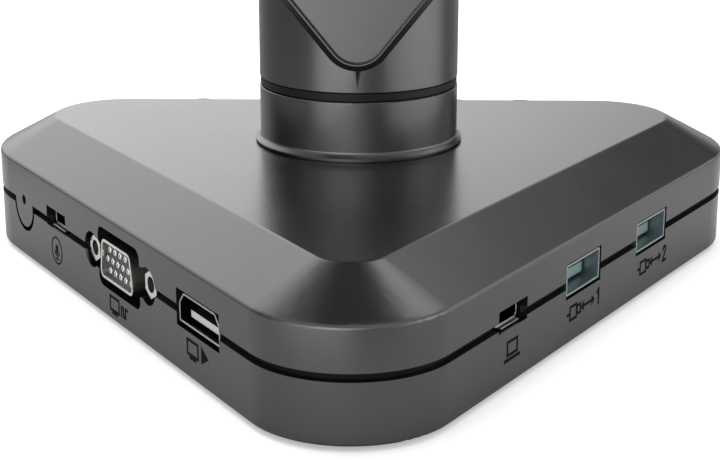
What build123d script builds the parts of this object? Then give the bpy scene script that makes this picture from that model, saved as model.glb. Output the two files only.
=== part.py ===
from build123d import *
import os
from math import atan2, cos, radians, sin, sqrt, tan

# Document camera on a low triangular base. Millimetres, +Z up.
# Origin: where the column's axis meets the desk. -Y is the rear, where the two socket faces meet.

# ---- base casing
FOOT_HEIGHT = 0.8
APEX_HALF_ANGLE = radians(31.7)
APEX_TO_COLUMN = 108.7
COLUMN_TO_FRONT = 46.8
APEX_RADIUS = 18.0
FRONT_CORNER_RADIUS = 25.4
SIDE_HEIGHT = 19.2
CHAMFER_RISE = 6.3
CHAMFER_INSET = 11.7
PARTING_HEIGHT = 11.15
PARTING_GAP = 1.4
CASE_WALL = 2.2
LIP_WALL = 0.9
LIP_CLEARANCE = 0.15
LIP_HEIGHT = 2.2

# ---- swivel column
COLUMN_RADIUS = 19.38
COLLAR_HEIGHT = 11.2
COLLAR_BORE = 15.0
COLLAR_LIP = 0.95
LIP_RISE = 0.35
COLLAR_WEB = 4.0
RING_HEIGHT = 1.3
RING_GAP = 0.3
RING_INSET = 0.15
RING_STEP = 0.8
SHAFT_RADIUS = 7.0
SHAFT_BORE = 4.5
RUNNING_CLEARANCE = 0.05

# ---- post
POST_WIDTH = 2 * COLUMN_RADIUS
POST_FRONT = 5.0
POST_WALL = 2.2
REAR_FACE_PROUD = 1.0
V_HALF_ANGLE = radians(38.8)
V_VIRTUAL_TIP = 0.0
V_TIP_RADIUS = 6.8
SHOULDER_RADIUS = 6.0
BEVEL_WIDTH = 1.13
BEVEL_DEPTH = 1.0
PANEL_RIM = 0.25
PANEL_GAP = 0.5
PANEL_THICKNESS = 1.8
ELBOW_FORWARD = 18.0
ELBOW_HEIGHT = 285.0
ELBOW_BARREL = 12.5
ELBOW_PIN = 3.0
KNUCKLE_HALF = 9.9
WASHER_THICKNESS = 0.5
SIDE_GAP = 0.05

# ---- arm and head
ARM_LENGTH = 150.0
ARM_WIDTH = 34.0
ARM_DEPTH = 19.0
ARM_WALL = 1.8
ARM_SEAM = 0.4
ARM_START = 20.0
ARM_END = 13.5
TILT_BARREL = 9.5
TILT_PIN = 2.0
TILT_KNUCKLE_HALF = 8.4
HEAD_START = 13.0
HEAD_LENGTH = 57.0
HEAD_WIDTH = 46.0
HEAD_DEPTH = 23.0
HEAD_WALL = 1.8
LENS_BACK = 27.0
LENS_RADIUS = 9.0

# ---- levels that follow from the values above
FLOOR_BOTTOM = FOOT_HEIGHT
PARTING = FOOT_HEIGHT + PARTING_HEIGHT
SIDE_TOP = FOOT_HEIGHT + SIDE_HEIGHT
PLATEAU = SIDE_TOP + CHAMFER_RISE
CEILING = PLATEAU - CASE_WALL
SLOPE_ANGLE = atan2(CHAMFER_RISE, CHAMFER_INSET)
INNER_SIDE_TOP = SIDE_TOP + CASE_WALL * tan(SLOPE_ANGLE) - CASE_WALL / cos(SLOPE_ANGLE)
COLLAR_TOP = PLATEAU + COLLAR_HEIGHT
RING_TOP = COLLAR_TOP + RING_GAP + RING_HEIGHT
POST_BOTTOM = RING_TOP + RING_GAP
REAR_FACE = -COLUMN_RADIUS - REAR_FACE_PROUD
TILT_FORWARD = ELBOW_FORWARD + ARM_LENGTH
LENS_FORWARD = TILT_FORWARD + HEAD_START + HEAD_LENGTH - LENS_BACK

os.makedirs("parts", exist_ok=True)


def save(name, shape):
    """Write one node's STEP file."""
    solids = shape.solids() if hasattr(shape, "solids") else ShapeList(shape)
    body = solids[0] if len(solids) == 1 else Compound(children=list(solids))
    body.label = name
    export_step(body, f"parts/{name}.step")


def ring(outer, inner, bottom, top):
    """Upright ring or, with no bore, a disc about the Z axis."""
    face = Circle(outer) - Circle(inner) if inner > 0 else Circle(outer)
    return Pos(0, 0, bottom) * extrude(face, top - bottom)


def slab(x0, x1, y0, y1, z0, z1):
    """Box between two corners."""
    size = (x1 - x0, y1 - y0, z1 - z0)
    return Pos((x0 + x1) / 2, (y0 + y1) / 2, (z0 + z1) / 2) * Box(*size)


def cross_pin(radius, x0, x1, y, z):
    """Round bar along X."""
    return Pos(x0, y, z) * Rot(0, 90, 0) * extrude(Circle(radius), x1 - x0)


def screw(x, y, head_z, up, head_r, shank_r, head_h, shank_h):
    """Pan-head screw; up is +1 when the shank points up."""
    head = Pos(x, y, head_z) * extrude(Circle(head_r), up * head_h)
    socket = Pos(x, y, head_z) * extrude(RegularPolygon(head_r * 0.45, 6), up * head_h * 0.5)
    shank = Pos(x, y, head_z + up * head_h) * extrude(Circle(shank_r), up * shank_h)
    return head - socket + shank


# ---------------------------------------------------------------- base outline
def base_outline(inset=0.0):
    """The base's plan, moved in by inset, with its three rounded corners."""
    apex_y = -APEX_TO_COLUMN + inset / sin(APEX_HALF_ANGLE)
    front_y = COLUMN_TO_FRONT - inset
    corner_x = (front_y - apex_y) * tan(APEX_HALF_ANGLE)
    points = [(0, apex_y), (corner_x, front_y), (-corner_x, front_y)]
    plan = make_face(Polyline(*points, close=True))
    rear_to_front = plan.vertices().sort_by(Axis.Y)
    plan = fillet(rear_to_front[1:], max(FRONT_CORNER_RADIUS - inset, 1.0))
    apex = plan.vertices().sort_by(Axis.Y)[0]
    return fillet(apex, max(APEX_RADIUS - inset, 1.0))


def prism(inset, bottom, top):
    """Upright prism of the base's plan."""
    return Pos(0, 0, bottom) * extrude(base_outline(inset), top - bottom)


def sloped_lid(inset, bottom, side_top, top):
    """Prism whose upper edge slopes in to the plateau, always at the same angle."""
    run = (top - side_top) / tan(SLOPE_ANGLE)
    lower = Pos(0, 0, side_top) * base_outline(inset)
    upper = Pos(0, 0, top) * base_outline(inset + run)
    return prism(inset, bottom, side_top) + loft([lower, upper], ruled=True)


# ---------------------------------------------------------------- places on the two rear faces
def face_plane(side, along, height, depth=0.0):
    """Plane on a rear face: x to the right and y up as seen from outside, z outwards.

    side is -1 for the -X face and +1 for the +X face; along is measured from the unrounded apex.
    """
    away = Vector(side * sin(APEX_HALF_ANGLE), cos(APEX_HALF_ANGLE), 0)
    outward = Vector(side * cos(APEX_HALF_ANGLE), -sin(APEX_HALF_ANGLE), 0)
    origin = Vector(0, -APEX_TO_COLUMN, FOOT_HEIGHT + height) + away * along - outward * depth
    return Plane(origin=origin, x_dir=away * side, z_dir=outward)


def on_face(plane, sketch, front, back):
    """Extrude a sketch between two depths behind a face plane."""
    return plane.location * (Pos(0, 0, -back) * extrude(sketch, back - front))


def rounded_trapezoid(lower, upper, height, radius):
    """Centred trapezoid with equal corner rounding."""
    half = height / 2
    points = [(-lower / 2, -half), (lower / 2, -half), (upper / 2, half), (-upper / 2, half)]
    face = make_face(Polyline(*points, close=True))
    return fillet(face.vertices(), radius)


def clipped_rectangle(width, height, clip_x, clip_y, radius):
    """Rectangle with its two upper corners cut off on a slope."""
    w, h = width / 2, height / 2
    points = [(-w, -h), (w, -h), (w, h - clip_y), (w - clip_x, h), (-w + clip_x, h), (-w, h - clip_y)]
    face = make_face(Polyline(*points, close=True))
    return fillet(face.vertices(), radius)


# ---- sockets: side, distance along the face, height above the base's underside
MIC_SIDE, MIC_ALONG, MIC_HEIGHT = -1, 128.7, 12.05
AUDIO_SIDE, AUDIO_ALONG, AUDIO_HEIGHT = -1, 110.9, 12.2
ANALOG_SIDE, ANALOG_ALONG, ANALOG_HEIGHT = -1, 80.2, 11.5
DIGITAL_SIDE, DIGITAL_ALONG, DIGITAL_HEIGHT = -1, 47.7, 11.6
COMPUTER_SIDE, COMPUTER_ALONG, COMPUTER_HEIGHT = 1, 50.1, 11.8
TYPE_A_SIDE, TYPE_A_NEAR, TYPE_A_PITCH, TYPE_A_HEIGHT = 1, 76.8, 29.8, 11.87

SOCKET_STEEL = 0.35
BOARD_BOTTOM = FOOT_HEIGHT + 15.4
BOARD_THICKNESS = 1.6
BOARD_INSET = 8.2

TAB_RADIUS = 5.55
TAB_GAP = 0.85
MIC_HOLE = 1.0

ANALOG_SHELL = (15.0, 12.5, 7.5)
ANALOG_OPENING = (18.6, 11.2)
ANALOG_NUT_SPACING = 25.0
ANALOG_EAR = 3.4
ANALOG_PROUD = 0.5
ANALOG_NUT_RECESS = 0.7
ANALOG_NUT_ACROSS = 4.6
ANALOG_NUT_BORE = 1.45
ANALOG_REACH = 6.4
ANALOG_FLANGE = (30.8, 12.4, 1.0)

DIGITAL_SHELL = (15.2, 5.3)
DIGITAL_CLIP = (1.7, 1.9)
DIGITAL_OPENING = (16.0, 6.55)

TYPE_A_SHELL = (13.3, 5.7)
SMALL_SHELL = (8.0, 3.1)
SMALL_OPENING = (9.95, 3.9)


def small_opening(side, along, height):
    """Cut-out for a small recessed socket, and its wider pocket behind the wall."""
    plane = face_plane(side, along, height)
    return on_face(plane, Rectangle(*SMALL_OPENING), -1, CASE_WALL + 3)


def socket_openings():
    """Everything that is cut through the side walls of both covers."""
    analog = face_plane(ANALOG_SIDE, ANALOG_ALONG, ANALOG_HEIGHT - 0.2)
    ears = Pos(-ANALOG_NUT_SPACING / 2, 0) * Circle(ANALOG_EAR) + Pos(ANALOG_NUT_SPACING / 2, 0) * Circle(ANALOG_EAR)
    bridge = Rectangle(ANALOG_NUT_SPACING, 2 * ANALOG_EAR - 1.2)
    window = ears + bridge + RectangleRounded(*ANALOG_OPENING, 1.8)
    digital = face_plane(DIGITAL_SIDE, DIGITAL_ALONG, DIGITAL_HEIGHT - 0.1)
    cuts = [
        on_face(analog, window, -1, CASE_WALL + 3),
        on_face(digital, Rectangle(*DIGITAL_OPENING), -1, CASE_WALL + 3),
        small_opening(AUDIO_SIDE, AUDIO_ALONG, AUDIO_HEIGHT),
        small_opening(COMPUTER_SIDE, COMPUTER_ALONG, COMPUTER_HEIGHT),
    ]
    width, height = TYPE_A_SHELL
    for index in range(2):
        plane = face_plane(TYPE_A_SIDE, TYPE_A_NEAR + index * TYPE_A_PITCH, TYPE_A_HEIGHT - 0.1)
        cuts.append(on_face(plane, Rectangle(width + 0.7, height + 0.8), -1, CASE_WALL + 3))
    return cuts


# ---- fixings of the base
CASE_SCREWS = [(-60, 10), (60, 10), (0, -60)]
FOOT_PLACES = [(-54, 30), (54, 30), (-11, -70), (11, -70)]
FOOT_RADIUS = 6.0
FOOT_RECESS = 0.8
BOARD_SCREWS = [(-16, -34), (16, -34), (-36, -2), (36, -2)]
PLATE_SCREWS = [(-42, -6), (42, -6), (-40, 30), (40, 30)]
COLLAR_SCREW_CIRCLE = 16.4
PLATE_BOTTOM = FLOOR_BOTTOM + CASE_WALL
PLATE_THICKNESS = 5.6
BOSS_RADIUS = 3.6
INNER_HEAD = 1.5
INNER_SCREW = (2.4, 1.0, INNER_HEAD, PLATE_THICKNESS + 1.2)
COLUMN_PLATE = (60.0, 46.0, 2.0)
NUT_ACROSS = 12.0


def ring_of(count, radius, start):
    """Places round the column's axis."""
    steps = [radians(start + 360 * index / count) for index in range(count)]
    return [(radius * cos(angle), radius * sin(angle)) for angle in steps]


COLLAR_SCREWS = ring_of(4, COLLAR_SCREW_CIRCLE, 45)

# ---- push buttons on the front slope
BUTTON_COUNT = 6
BUTTON_PITCH = 14.0
BUTTON_RADIUS = 4.2
BUTTON_CLEARANCE = 0.2
BUTTON_PROUD = 0.9
BUTTON_FLANGE = 0.8
BUTTON_STEM = 1.5
BUTTON_TRAVEL = 0.8
STEM_LENGTH = 2.2
SWITCH_GAP = 0.1
SWITCH_PLUNGER = 1.0
SWITCH_HEIGHT = 1.6
KEY_BOARD = (94.0, 8.4, 1.2)


def slope_plane(x):
    """Plane on the front slope: x along +X, z outwards."""
    y = COLUMN_TO_FRONT - CHAMFER_INSET / 2
    z = SIDE_TOP + CHAMFER_RISE / 2
    return Plane(origin=(x, y, z), x_dir=(1, 0, 0), z_dir=(0, sin(SLOPE_ANGLE), cos(SLOPE_ANGLE)))


def on_slope(x, sketch, low, high):
    """Extrude a sketch between two levels over the front slope."""
    return slope_plane(x).location * (Pos(0, 0, low) * extrude(sketch, high - low))


BUTTON_PLACES = [(index - (BUTTON_COUNT - 1) / 2) * BUTTON_PITCH for index in range(BUTTON_COUNT)]
KEY_POSTS = [-43.5, 43.5]
STAKE_RADIUS = 1.1
STEM_END = -CASE_WALL - BUTTON_FLANGE - STEM_LENGTH
PLUNGER_TOP = STEM_END - BUTTON_TRAVEL - SWITCH_GAP
SWITCH_TOP = PLUNGER_TOP - SWITCH_PLUNGER
KEY_BOARD_TOP = SWITCH_TOP - SWITCH_HEIGHT


# ================================================================ base casing
def make_top_cover():
    """Upper casing: plateau, wide slope, short side wall, bosses and the microphone tab."""
    wall_bottom = PARTING + PARTING_GAP / 2
    outer = sloped_lid(0, wall_bottom, SIDE_TOP, PLATEAU)
    slope_edges = outer.edges().filter_by(lambda e: abs(e.center().Z - PLATEAU) < 0.01)
    outer = fillet(slope_edges, 1.6)
    side_edges = outer.edges().filter_by(lambda e: abs(e.center().Z - SIDE_TOP) < 0.01)
    outer = fillet(side_edges, 0.9)
    cover = outer - sloped_lid(CASE_WALL, wall_bottom - 1, INNER_SIDE_TOP, CEILING)
    # rebate that takes the lower cover's lip
    rebate = prism(CASE_WALL - LIP_WALL - LIP_CLEARANCE, wall_bottom - 1, PARTING + LIP_HEIGHT + 0.3)
    cover -= rebate - prism(CASE_WALL + 1, wall_bottom - 2, PARTING + LIP_HEIGHT + 1)
    # half-round tab round the microphone hole
    tab_plane = face_plane(MIC_SIDE, MIC_ALONG, PARTING_HEIGHT)
    tab = Circle(TAB_RADIUS - TAB_GAP) & Pos(0, -TAB_RADIUS / 2) * Rectangle(3 * TAB_RADIUS, TAB_RADIUS + 2)
    cover += on_face(tab_plane, tab, 0, CASE_WALL)
    mic_plane = face_plane(MIC_SIDE, MIC_ALONG, MIC_HEIGHT)
    cover -= on_face(mic_plane, Circle(MIC_HOLE), -1, CASE_WALL + 1)
    # bosses for the case and board screws, and stakes for the key board
    middle_of_wall = sloped_lid(
        CASE_WALL / 2, PARTING - 2, (SIDE_TOP + INNER_SIDE_TOP) / 2, (PLATEAU + CEILING) / 2)
    for x, y in CASE_SCREWS:
        cover += Pos(x, y) * ring(BOSS_RADIUS, 1.2, PARTING - 2, CEILING + 0.5) & middle_of_wall
    for x, y in BOARD_SCREWS:
        cover += Pos(x, y) * ring(3.0, 1.0, BOARD_BOTTOM + BOARD_THICKNESS, CEILING + 0.5)
    for x in KEY_POSTS:
        cover += on_slope(x, Circle(2.6), KEY_BOARD_TOP, -CASE_WALL + 0.4)
        cover += on_slope(x, Circle(STAKE_RADIUS), KEY_BOARD_TOP - KEY_BOARD[2] - 0.8, KEY_BOARD_TOP)
    # button holes, bush hole and collar screw holes
    for x in BUTTON_PLACES:
        cover -= on_slope(x, Circle(BUTTON_RADIUS + BUTTON_CLEARANCE), -CASE_WALL - 1, 3)
    cover -= ring(BUSH_SLEEVE + 0.3, 0, CEILING - 1, PLATEAU + 1)
    for x, y in COLLAR_SCREWS:
        cover -= Pos(x, y) * ring(1.8, 0, CEILING - 1, PLATEAU + 1)
    for cut in socket_openings():
        cover -= cut
    return cover


BUSH_SLEEVE = 9.0
BUSH_FLANGE = 1.5
BUSH_BOTTOM = CEILING - 2.0 - 1.6


def make_bottom_cover():
    """Lower casing: floor, side wall with an inner lip, screw pillars and foot recesses."""
    wall_top = PARTING - PARTING_GAP / 2
    outer = prism(0, FLOOR_BOTTOM, wall_top)
    edges = outer.edges().filter_by(lambda e: abs(e.center().Z - FLOOR_BOTTOM) < 0.01)
    outer = fillet(edges, 0.6)
    cover = outer - prism(CASE_WALL, FLOOR_BOTTOM + CASE_WALL, wall_top + 1)
    lip = prism(CASE_WALL - LIP_WALL, wall_top - 2, PARTING + LIP_HEIGHT)
    cover += lip - prism(CASE_WALL, wall_top - 3, PARTING + LIP_HEIGHT + 1)
    tab_plane = face_plane(MIC_SIDE, MIC_ALONG, PARTING_HEIGHT)
    cover -= on_face(tab_plane, Circle(TAB_RADIUS), -1, CASE_WALL + 1)
    for x, y in CASE_SCREWS:
        cover += Pos(x, y) * ring(BOSS_RADIUS, 0, FLOOR_BOTTOM + CASE_WALL - 0.5, PARTING - 2)
        cover -= Pos(x, y) * ring(1.4, 0, FLOOR_BOTTOM - 1, PARTING)
        cover -= Pos(x, y) * ring(2.8, 0, FLOOR_BOTTOM - 1, FLOOR_BOTTOM + 3.0)
    for x, y in FOOT_PLACES:
        cover -= Pos(x, y) * ring(FOOT_RADIUS + 0.1, 0, FLOOR_BOTTOM - 1, FLOOR_BOTTOM + FOOT_RECESS)
    for x, y in PLATE_SCREWS:
        cover -= Pos(x, y) * ring(1.1, 0, FLOOR_BOTTOM + 0.8, FLOOR_BOTTOM + CASE_WALL + 1)
    for cut in socket_openings():
        cover -= cut
    return cover


def make_weight_plate():
    """Steel ballast on the floor, in the front half of the base."""
    top = PLATE_BOTTOM + PLATE_THICKNESS
    plate = prism(CASE_WALL + 4.5, PLATE_BOTTOM, top)
    plate &= slab(-90, 90, -15, 60, PLATE_BOTTOM - 1, top + 1)
    for x, y in CASE_SCREWS:
        plate -= Pos(x, y) * ring(BOSS_RADIUS + 0.4, 0, PLATE_BOTTOM - 1, top + 1)
    for x, y in PLATE_SCREWS:
        plate -= Pos(x, y) * ring(1.5, 0, PLATE_BOTTOM - 1, top + 1)
    return plate


save("base_top_cover", make_top_cover())
save("base_bottom_cover", make_bottom_cover())
save("base_weight_plate", make_weight_plate())
plate_screws = [
    screw(x, y, PLATE_BOTTOM + PLATE_THICKNESS + INNER_HEAD, -1, *INNER_SCREW) for x, y in PLATE_SCREWS
]
board_screws = [screw(x, y, BOARD_BOTTOM - INNER_HEAD, 1, *INNER_SCREW) for x, y in BOARD_SCREWS]
save("inner_screws", Compound(children=plate_screws + board_screws))
save("case_screws", Compound(children=[
    screw(x, y, FLOOR_BOTTOM + 1.2, 1, 2.6, 1.15, 1.8, 13.0) for x, y in CASE_SCREWS
]))


def make_foot(x, y):
    """Rubber disc let into the underside."""
    foot = Pos(x, y) * ring(FOOT_RADIUS, 0, 0, FLOOR_BOTTOM + FOOT_RECESS)
    lower = foot.edges().sort_by(Axis.Z)[0]
    return fillet(lower, 0.35)


save("rubber_feet", Compound(children=[make_foot(x, y) for x, y in FOOT_PLACES]))


# ================================================================ main board and sockets
def make_main_board():
    """Circuit board under the plateau, cut away round the swivel nut."""
    top = BOARD_BOTTOM + BOARD_THICKNESS
    board = prism(BOARD_INSET, BOARD_BOTTOM, top)
    board &= slab(-90, 90, -APEX_TO_COLUMN, 4, BOARD_BOTTOM - 1, top + 1)
    board -= ring(NUT_ACROSS + 3.2, 0, BOARD_BOTTOM - 1, top + 1)
    board -= slab(-NUT_ACROSS - 3.2, NUT_ACROSS + 3.2, 0, 10, BOARD_BOTTOM - 1, top + 1)
    for x, y in CASE_SCREWS:
        board -= Pos(x, y) * ring(BOSS_RADIUS + 0.5, 0, BOARD_BOTTOM - 1, top + 1)
    for x, y in BOARD_SCREWS:
        board -= Pos(x, y) * ring(1.3, 0, BOARD_BOTTOM - 1, top + 1)
    return board


def board_gap(height, half_height):
    """Distance from a socket's centre line up to the board's underside, and its own top."""
    return BOARD_BOTTOM - FOOT_HEIGHT - height, half_height


def socket_shell(plane, outline, recess, length, gap, span):
    """Drawn steel sleeve with two solder legs that reach the board."""
    reach, top = gap
    sleeve = on_face(plane, outline - offset(outline, -SOCKET_STEEL), recess, recess + length)
    leg_face = Pos(0, (reach + top - 0.3) / 2) * Rectangle(0.5, reach - top + 0.3)
    for x in (-span, span):
        sleeve += on_face(plane, Pos(x, 0) * leg_face, BOARD_INSET + 1.0, BOARD_INSET + 2.4)
    return sleeve


def socket_block(plane, outline, tongue, front, back, block):
    """Moulded insert: a block that closes the sleeve's rear and a tongue in front of it."""
    inner = offset(outline, -SOCKET_STEEL - 0.05)
    insert = on_face(plane, inner, back - block, back)
    return insert + on_face(plane, tongue, front, back)


save("main_board", make_main_board())


# ---- analog video socket
def analog_outline(grow=0.0):
    """D-shaped outline, wide side down."""
    lower, upper, height = ANALOG_SHELL
    return rounded_trapezoid(lower + 2 * grow, upper + 2 * grow, height + 2 * grow, 1.4)


def make_analog_shell():
    """Nickel-plated D shell with its flange."""
    plane = face_plane(ANALOG_SIDE, ANALOG_ALONG, ANALOG_HEIGHT)
    flange_front = ANALOG_REACH - ANALOG_PROUD
    width, height, thickness = ANALOG_FLANGE
    outline = analog_outline()
    inner = offset(outline, -0.5)
    sleeve = on_face(plane, outline - inner, -ANALOG_PROUD, flange_front + thickness)
    flange = on_face(plane, RectangleRounded(width, height, 1.2) - inner, flange_front, flange_front + thickness)
    shell = sleeve + flange
    for x in (-ANALOG_NUT_SPACING / 2, ANALOG_NUT_SPACING / 2):
        shell -= on_face(plane, Pos(x, 0) * Circle(1.45), flange_front - 1, flange_front + 3)
    return shell


ANALOG_PITCH = 2.29
ANALOG_ROW = 1.98


def contact_places():
    """Three rows of five, the middle row moved by half a pitch."""
    places = []
    for row in range(3):
        shift = -0.25 if row == 1 else 0.25
        for column in range(5):
            places.append(((column - 2 + shift) * ANALOG_PITCH, (row - 1) * ANALOG_ROW))
    return places


def make_analog_insert():
    """Moulded block that carries the contacts."""
    plane = face_plane(ANALOG_SIDE, ANALOG_ALONG, ANALOG_HEIGHT)
    outline = offset(analog_outline(), -0.55)
    back = ANALOG_REACH - ANALOG_PROUD + 5.0
    block = on_face(plane, outline, -ANALOG_PROUD + 0.9, back)
    body = on_face(plane, Rectangle(21.5, 7.4), ANALOG_REACH - ANALOG_PROUD + ANALOG_FLANGE[2], back)
    holes = Compound(children=[
        on_face(plane, Pos(*place) * Circle(0.62), 0, -ANALOG_PROUD + 6) for place in contact_places()
    ])
    return block + body - holes


def make_analog_contacts():
    """Fifteen round contacts, each with a blind bore."""
    plane = face_plane(ANALOG_SIDE, ANALOG_ALONG, ANALOG_HEIGHT)
    front = -ANALOG_PROUD + 0.55
    solids = []
    for place in contact_places():
        barrel = on_face(plane, Pos(*place) * Circle(0.6), front, -ANALOG_PROUD + 6)
        solids.append(barrel - on_face(plane, Pos(*place) * Circle(0.25), front - 1, front + 1.5))
    return Compound(children=solids)


def make_jack_nuts():
    """Two hexagon jack nuts with threaded bores."""
    plane = face_plane(ANALOG_SIDE, ANALOG_ALONG, ANALOG_HEIGHT)
    flange_front = ANALOG_REACH - ANALOG_PROUD
    solids = []
    for x in (-ANALOG_NUT_SPACING / 2, ANALOG_NUT_SPACING / 2):
        hexagon = Pos(x, 0) * RegularPolygon(ANALOG_NUT_ACROSS / sqrt(3), 6, rotation=30)
        nut = on_face(plane, hexagon, ANALOG_NUT_RECESS, flange_front)
        nut += on_face(plane, Pos(x, 0) * Circle(1.4), flange_front, flange_front + 4)
        solids.append(nut - on_face(plane, Pos(x, 0) * Circle(ANALOG_NUT_BORE), -1, flange_front - 0.5))
    return Compound(children=solids)


save("analog_video_shell", make_analog_shell())
save("analog_video_insert", make_analog_insert())
save("analog_video_contacts", make_analog_contacts())
save("analog_video_jack_nuts", make_jack_nuts())

# ---- digital video socket
digital_plane = face_plane(DIGITAL_SIDE, DIGITAL_ALONG, DIGITAL_HEIGHT)
digital_outline = clipped_rectangle(*DIGITAL_SHELL, *DIGITAL_CLIP, 0.45)
digital_gap = board_gap(DIGITAL_HEIGHT, DIGITAL_SHELL[1] / 2)
save("digital_video_shell", socket_shell(digital_plane, digital_outline, 0.3, 11.0, digital_gap, 4.5))
digital_tongue = Pos(0, -0.85) * Rectangle(10.4, 1.2)
save("digital_video_tongue", socket_block(digital_plane, digital_outline, digital_tongue, 1.4, 11.3, 2.5))

# ---- two type-A sockets
type_a_planes = [
    face_plane(TYPE_A_SIDE, TYPE_A_NEAR + index * TYPE_A_PITCH, TYPE_A_HEIGHT) for index in range(2)
]
type_a_outline = RectangleRounded(*TYPE_A_SHELL, 0.4)
type_a_gap = board_gap(TYPE_A_HEIGHT, TYPE_A_SHELL[1] / 2)
type_a_tongue = Pos(0, -0.95) * Rectangle(11.1, 1.84)
save("type_a_shells", Compound(children=[
    socket_shell(plane, type_a_outline, 0.15, 14.0, type_a_gap, 5.0) for plane in type_a_planes
]))
save("type_a_tongues", Compound(children=[
    socket_block(plane, type_a_outline, type_a_tongue, 3.1, 14.15, 3.0) for plane in type_a_planes
]))

# ---- two small recessed sockets
SMALL_RECESS = 1.5


def make_small_socket(prefix, side, along, height):
    """Small sleeve with a flared lower lip, and its tongue."""
    plane = face_plane(side, along, height)
    outline = RectangleRounded(*SMALL_SHELL, 0.9)
    gap = board_gap(height, SMALL_SHELL[1] / 2)
    shell = socket_shell(plane, outline, SMALL_RECESS, 9.0, gap, 2.5)
    lip_top = -SMALL_SHELL[1] / 2 + SOCKET_STEEL / 2
    lip = Pos(0, lip_top - 0.2) * Rectangle(SMALL_SHELL[0] - 1.8, 0.3)
    shell += on_face(plane, lip, SMALL_RECESS - 0.9, SMALL_RECESS + 1.2)
    save(f"{prefix}_shell", shell)
    tongue = Pos(0, 0.35) * Rectangle(4.6, 0.7)
    save(f"{prefix}_tongue", socket_block(plane, outline, tongue, SMALL_RECESS + 1.2, SMALL_RECESS + 9.0, 2.0))


make_small_socket("audio_socket", AUDIO_SIDE, AUDIO_ALONG, AUDIO_HEIGHT)
make_small_socket("computer_socket", COMPUTER_SIDE, COMPUTER_ALONG, COMPUTER_HEIGHT)

mic_plane = face_plane(MIC_SIDE, MIC_ALONG, MIC_HEIGHT)
capsule = on_face(mic_plane, Circle(2.4), CASE_WALL, CASE_WALL + 2.8)
capsule -= on_face(mic_plane, Circle(0.5), CASE_WALL - 1, CASE_WALL + 0.8)
save("microphone_capsule", capsule)


# ================================================================ push buttons and key board
BUTTON_NAMES = ["power", "source", "zoom_out", "zoom_in", "focus", "light"]


def make_button(x):
    """Round key: crowned cap, flange that stops against the cover, and stem."""
    cap = on_slope(x, Circle(BUTTON_RADIUS), -CASE_WALL, BUTTON_PROUD)
    crown = cap.edges().filter_by(GeomType.CIRCLE).sort_by(lambda e: e.center().Z)[-1]
    cap = fillet(crown, 0.45)
    flange_radius = BUTTON_RADIUS + BUTTON_CLEARANCE + 0.7
    flange = on_slope(x, Circle(flange_radius), -CASE_WALL - BUTTON_FLANGE, -CASE_WALL - 0.05)
    stem = on_slope(x, Circle(BUTTON_STEM), STEM_END, -CASE_WALL - BUTTON_FLANGE)
    neck = on_slope(x, Circle(BUTTON_RADIUS), -CASE_WALL - BUTTON_FLANGE, -CASE_WALL)
    return cap + neck + flange + stem


for x, name in zip(BUTTON_PLACES, BUTTON_NAMES):
    save(f"button_{name}", make_button(x))

key_board = on_slope(0, Rectangle(KEY_BOARD[0], KEY_BOARD[1]), KEY_BOARD_TOP - KEY_BOARD[2], KEY_BOARD_TOP)
for x in KEY_POSTS:
    key_board -= on_slope(x, Circle(STAKE_RADIUS + 0.1), KEY_BOARD_TOP - 3, KEY_BOARD_TOP + 1)
save("key_board", key_board)
save("key_switches", Compound(children=[
    on_slope(x, RectangleRounded(5.2, 5.2, 0.4), KEY_BOARD_TOP, SWITCH_TOP)
    + on_slope(x, Circle(1.3), SWITCH_TOP, PLUNGER_TOP)
    for x in BUTTON_PLACES
]))

# ================================================================ collar and swivel
WEB_TOP = PLATEAU + COLLAR_WEB
BUSH_TOP = WEB_TOP + BUSH_FLANGE
SHAFT_FLANGE = 3.0
FLANGE_BOTTOM = BUSH_TOP + RUNNING_CLEARANCE
FLANGE_TOP = FLANGE_BOTTOM + SHAFT_FLANGE
HUB_RADIUS = COLLAR_BORE - 0.5


def make_collar():
    """Fixed lower ring of the column, flared into a thin lip at the plateau."""
    profile = make_face(Polyline(
        (COLLAR_BORE, PLATEAU), (COLUMN_RADIUS + 0.2, PLATEAU), (COLUMN_RADIUS + 0.2, PLATEAU + LIP_RISE),
        (COLUMN_RADIUS + COLLAR_LIP, PLATEAU + LIP_RISE), (COLUMN_RADIUS + COLLAR_LIP, PLATEAU + LIP_RISE + 0.25),
        (COLUMN_RADIUS, PLATEAU + LIP_RISE + 0.95), (COLUMN_RADIUS, COLLAR_TOP), (COLLAR_BORE, COLLAR_TOP),
        close=True))
    flare = profile.vertices().filter_by(lambda v: abs(v.X - COLUMN_RADIUS) < 0.01 and v.Y < PLATEAU + 2)
    profile = fillet(flare, 0.7)
    top_edge = profile.vertices().filter_by(lambda v: v.X > COLUMN_RADIUS - 0.01 and v.Y > COLLAR_TOP - 0.01)
    profile = fillet(top_edge, 0.25)
    collar = revolve(Plane.XZ.location * profile, Axis.Z)
    collar += ring(COLLAR_BORE + 0.5, BUSH_SLEEVE, PLATEAU, WEB_TOP)
    for x, y in COLLAR_SCREWS:
        collar -= Pos(x, y) * ring(1.55, 0, PLATEAU - 1, PLATEAU + 7.5)
    return collar


def make_swivel_ring():
    """Dark friction ring in the joint, stepped so that only its band shows."""
    step = COLUMN_RADIUS - RING_STEP
    band = ring(COLUMN_RADIUS - RING_INSET, COLLAR_BORE + 0.2, COLLAR_TOP + RING_GAP, RING_TOP)
    return band + ring(step, COLLAR_BORE + 0.2, COLLAR_TOP, POST_BOTTOM - RUNNING_CLEARANCE)


def make_bush():
    """Flanged acetal bush in the collar's web."""
    sleeve = ring(BUSH_SLEEVE - 0.03, SHAFT_RADIUS + RUNNING_CLEARANCE, BUSH_BOTTOM, WEB_TOP)
    return sleeve + ring(COLLAR_BORE - 0.5, SHAFT_RADIUS + RUNNING_CLEARANCE, WEB_TOP, BUSH_TOP)


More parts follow.
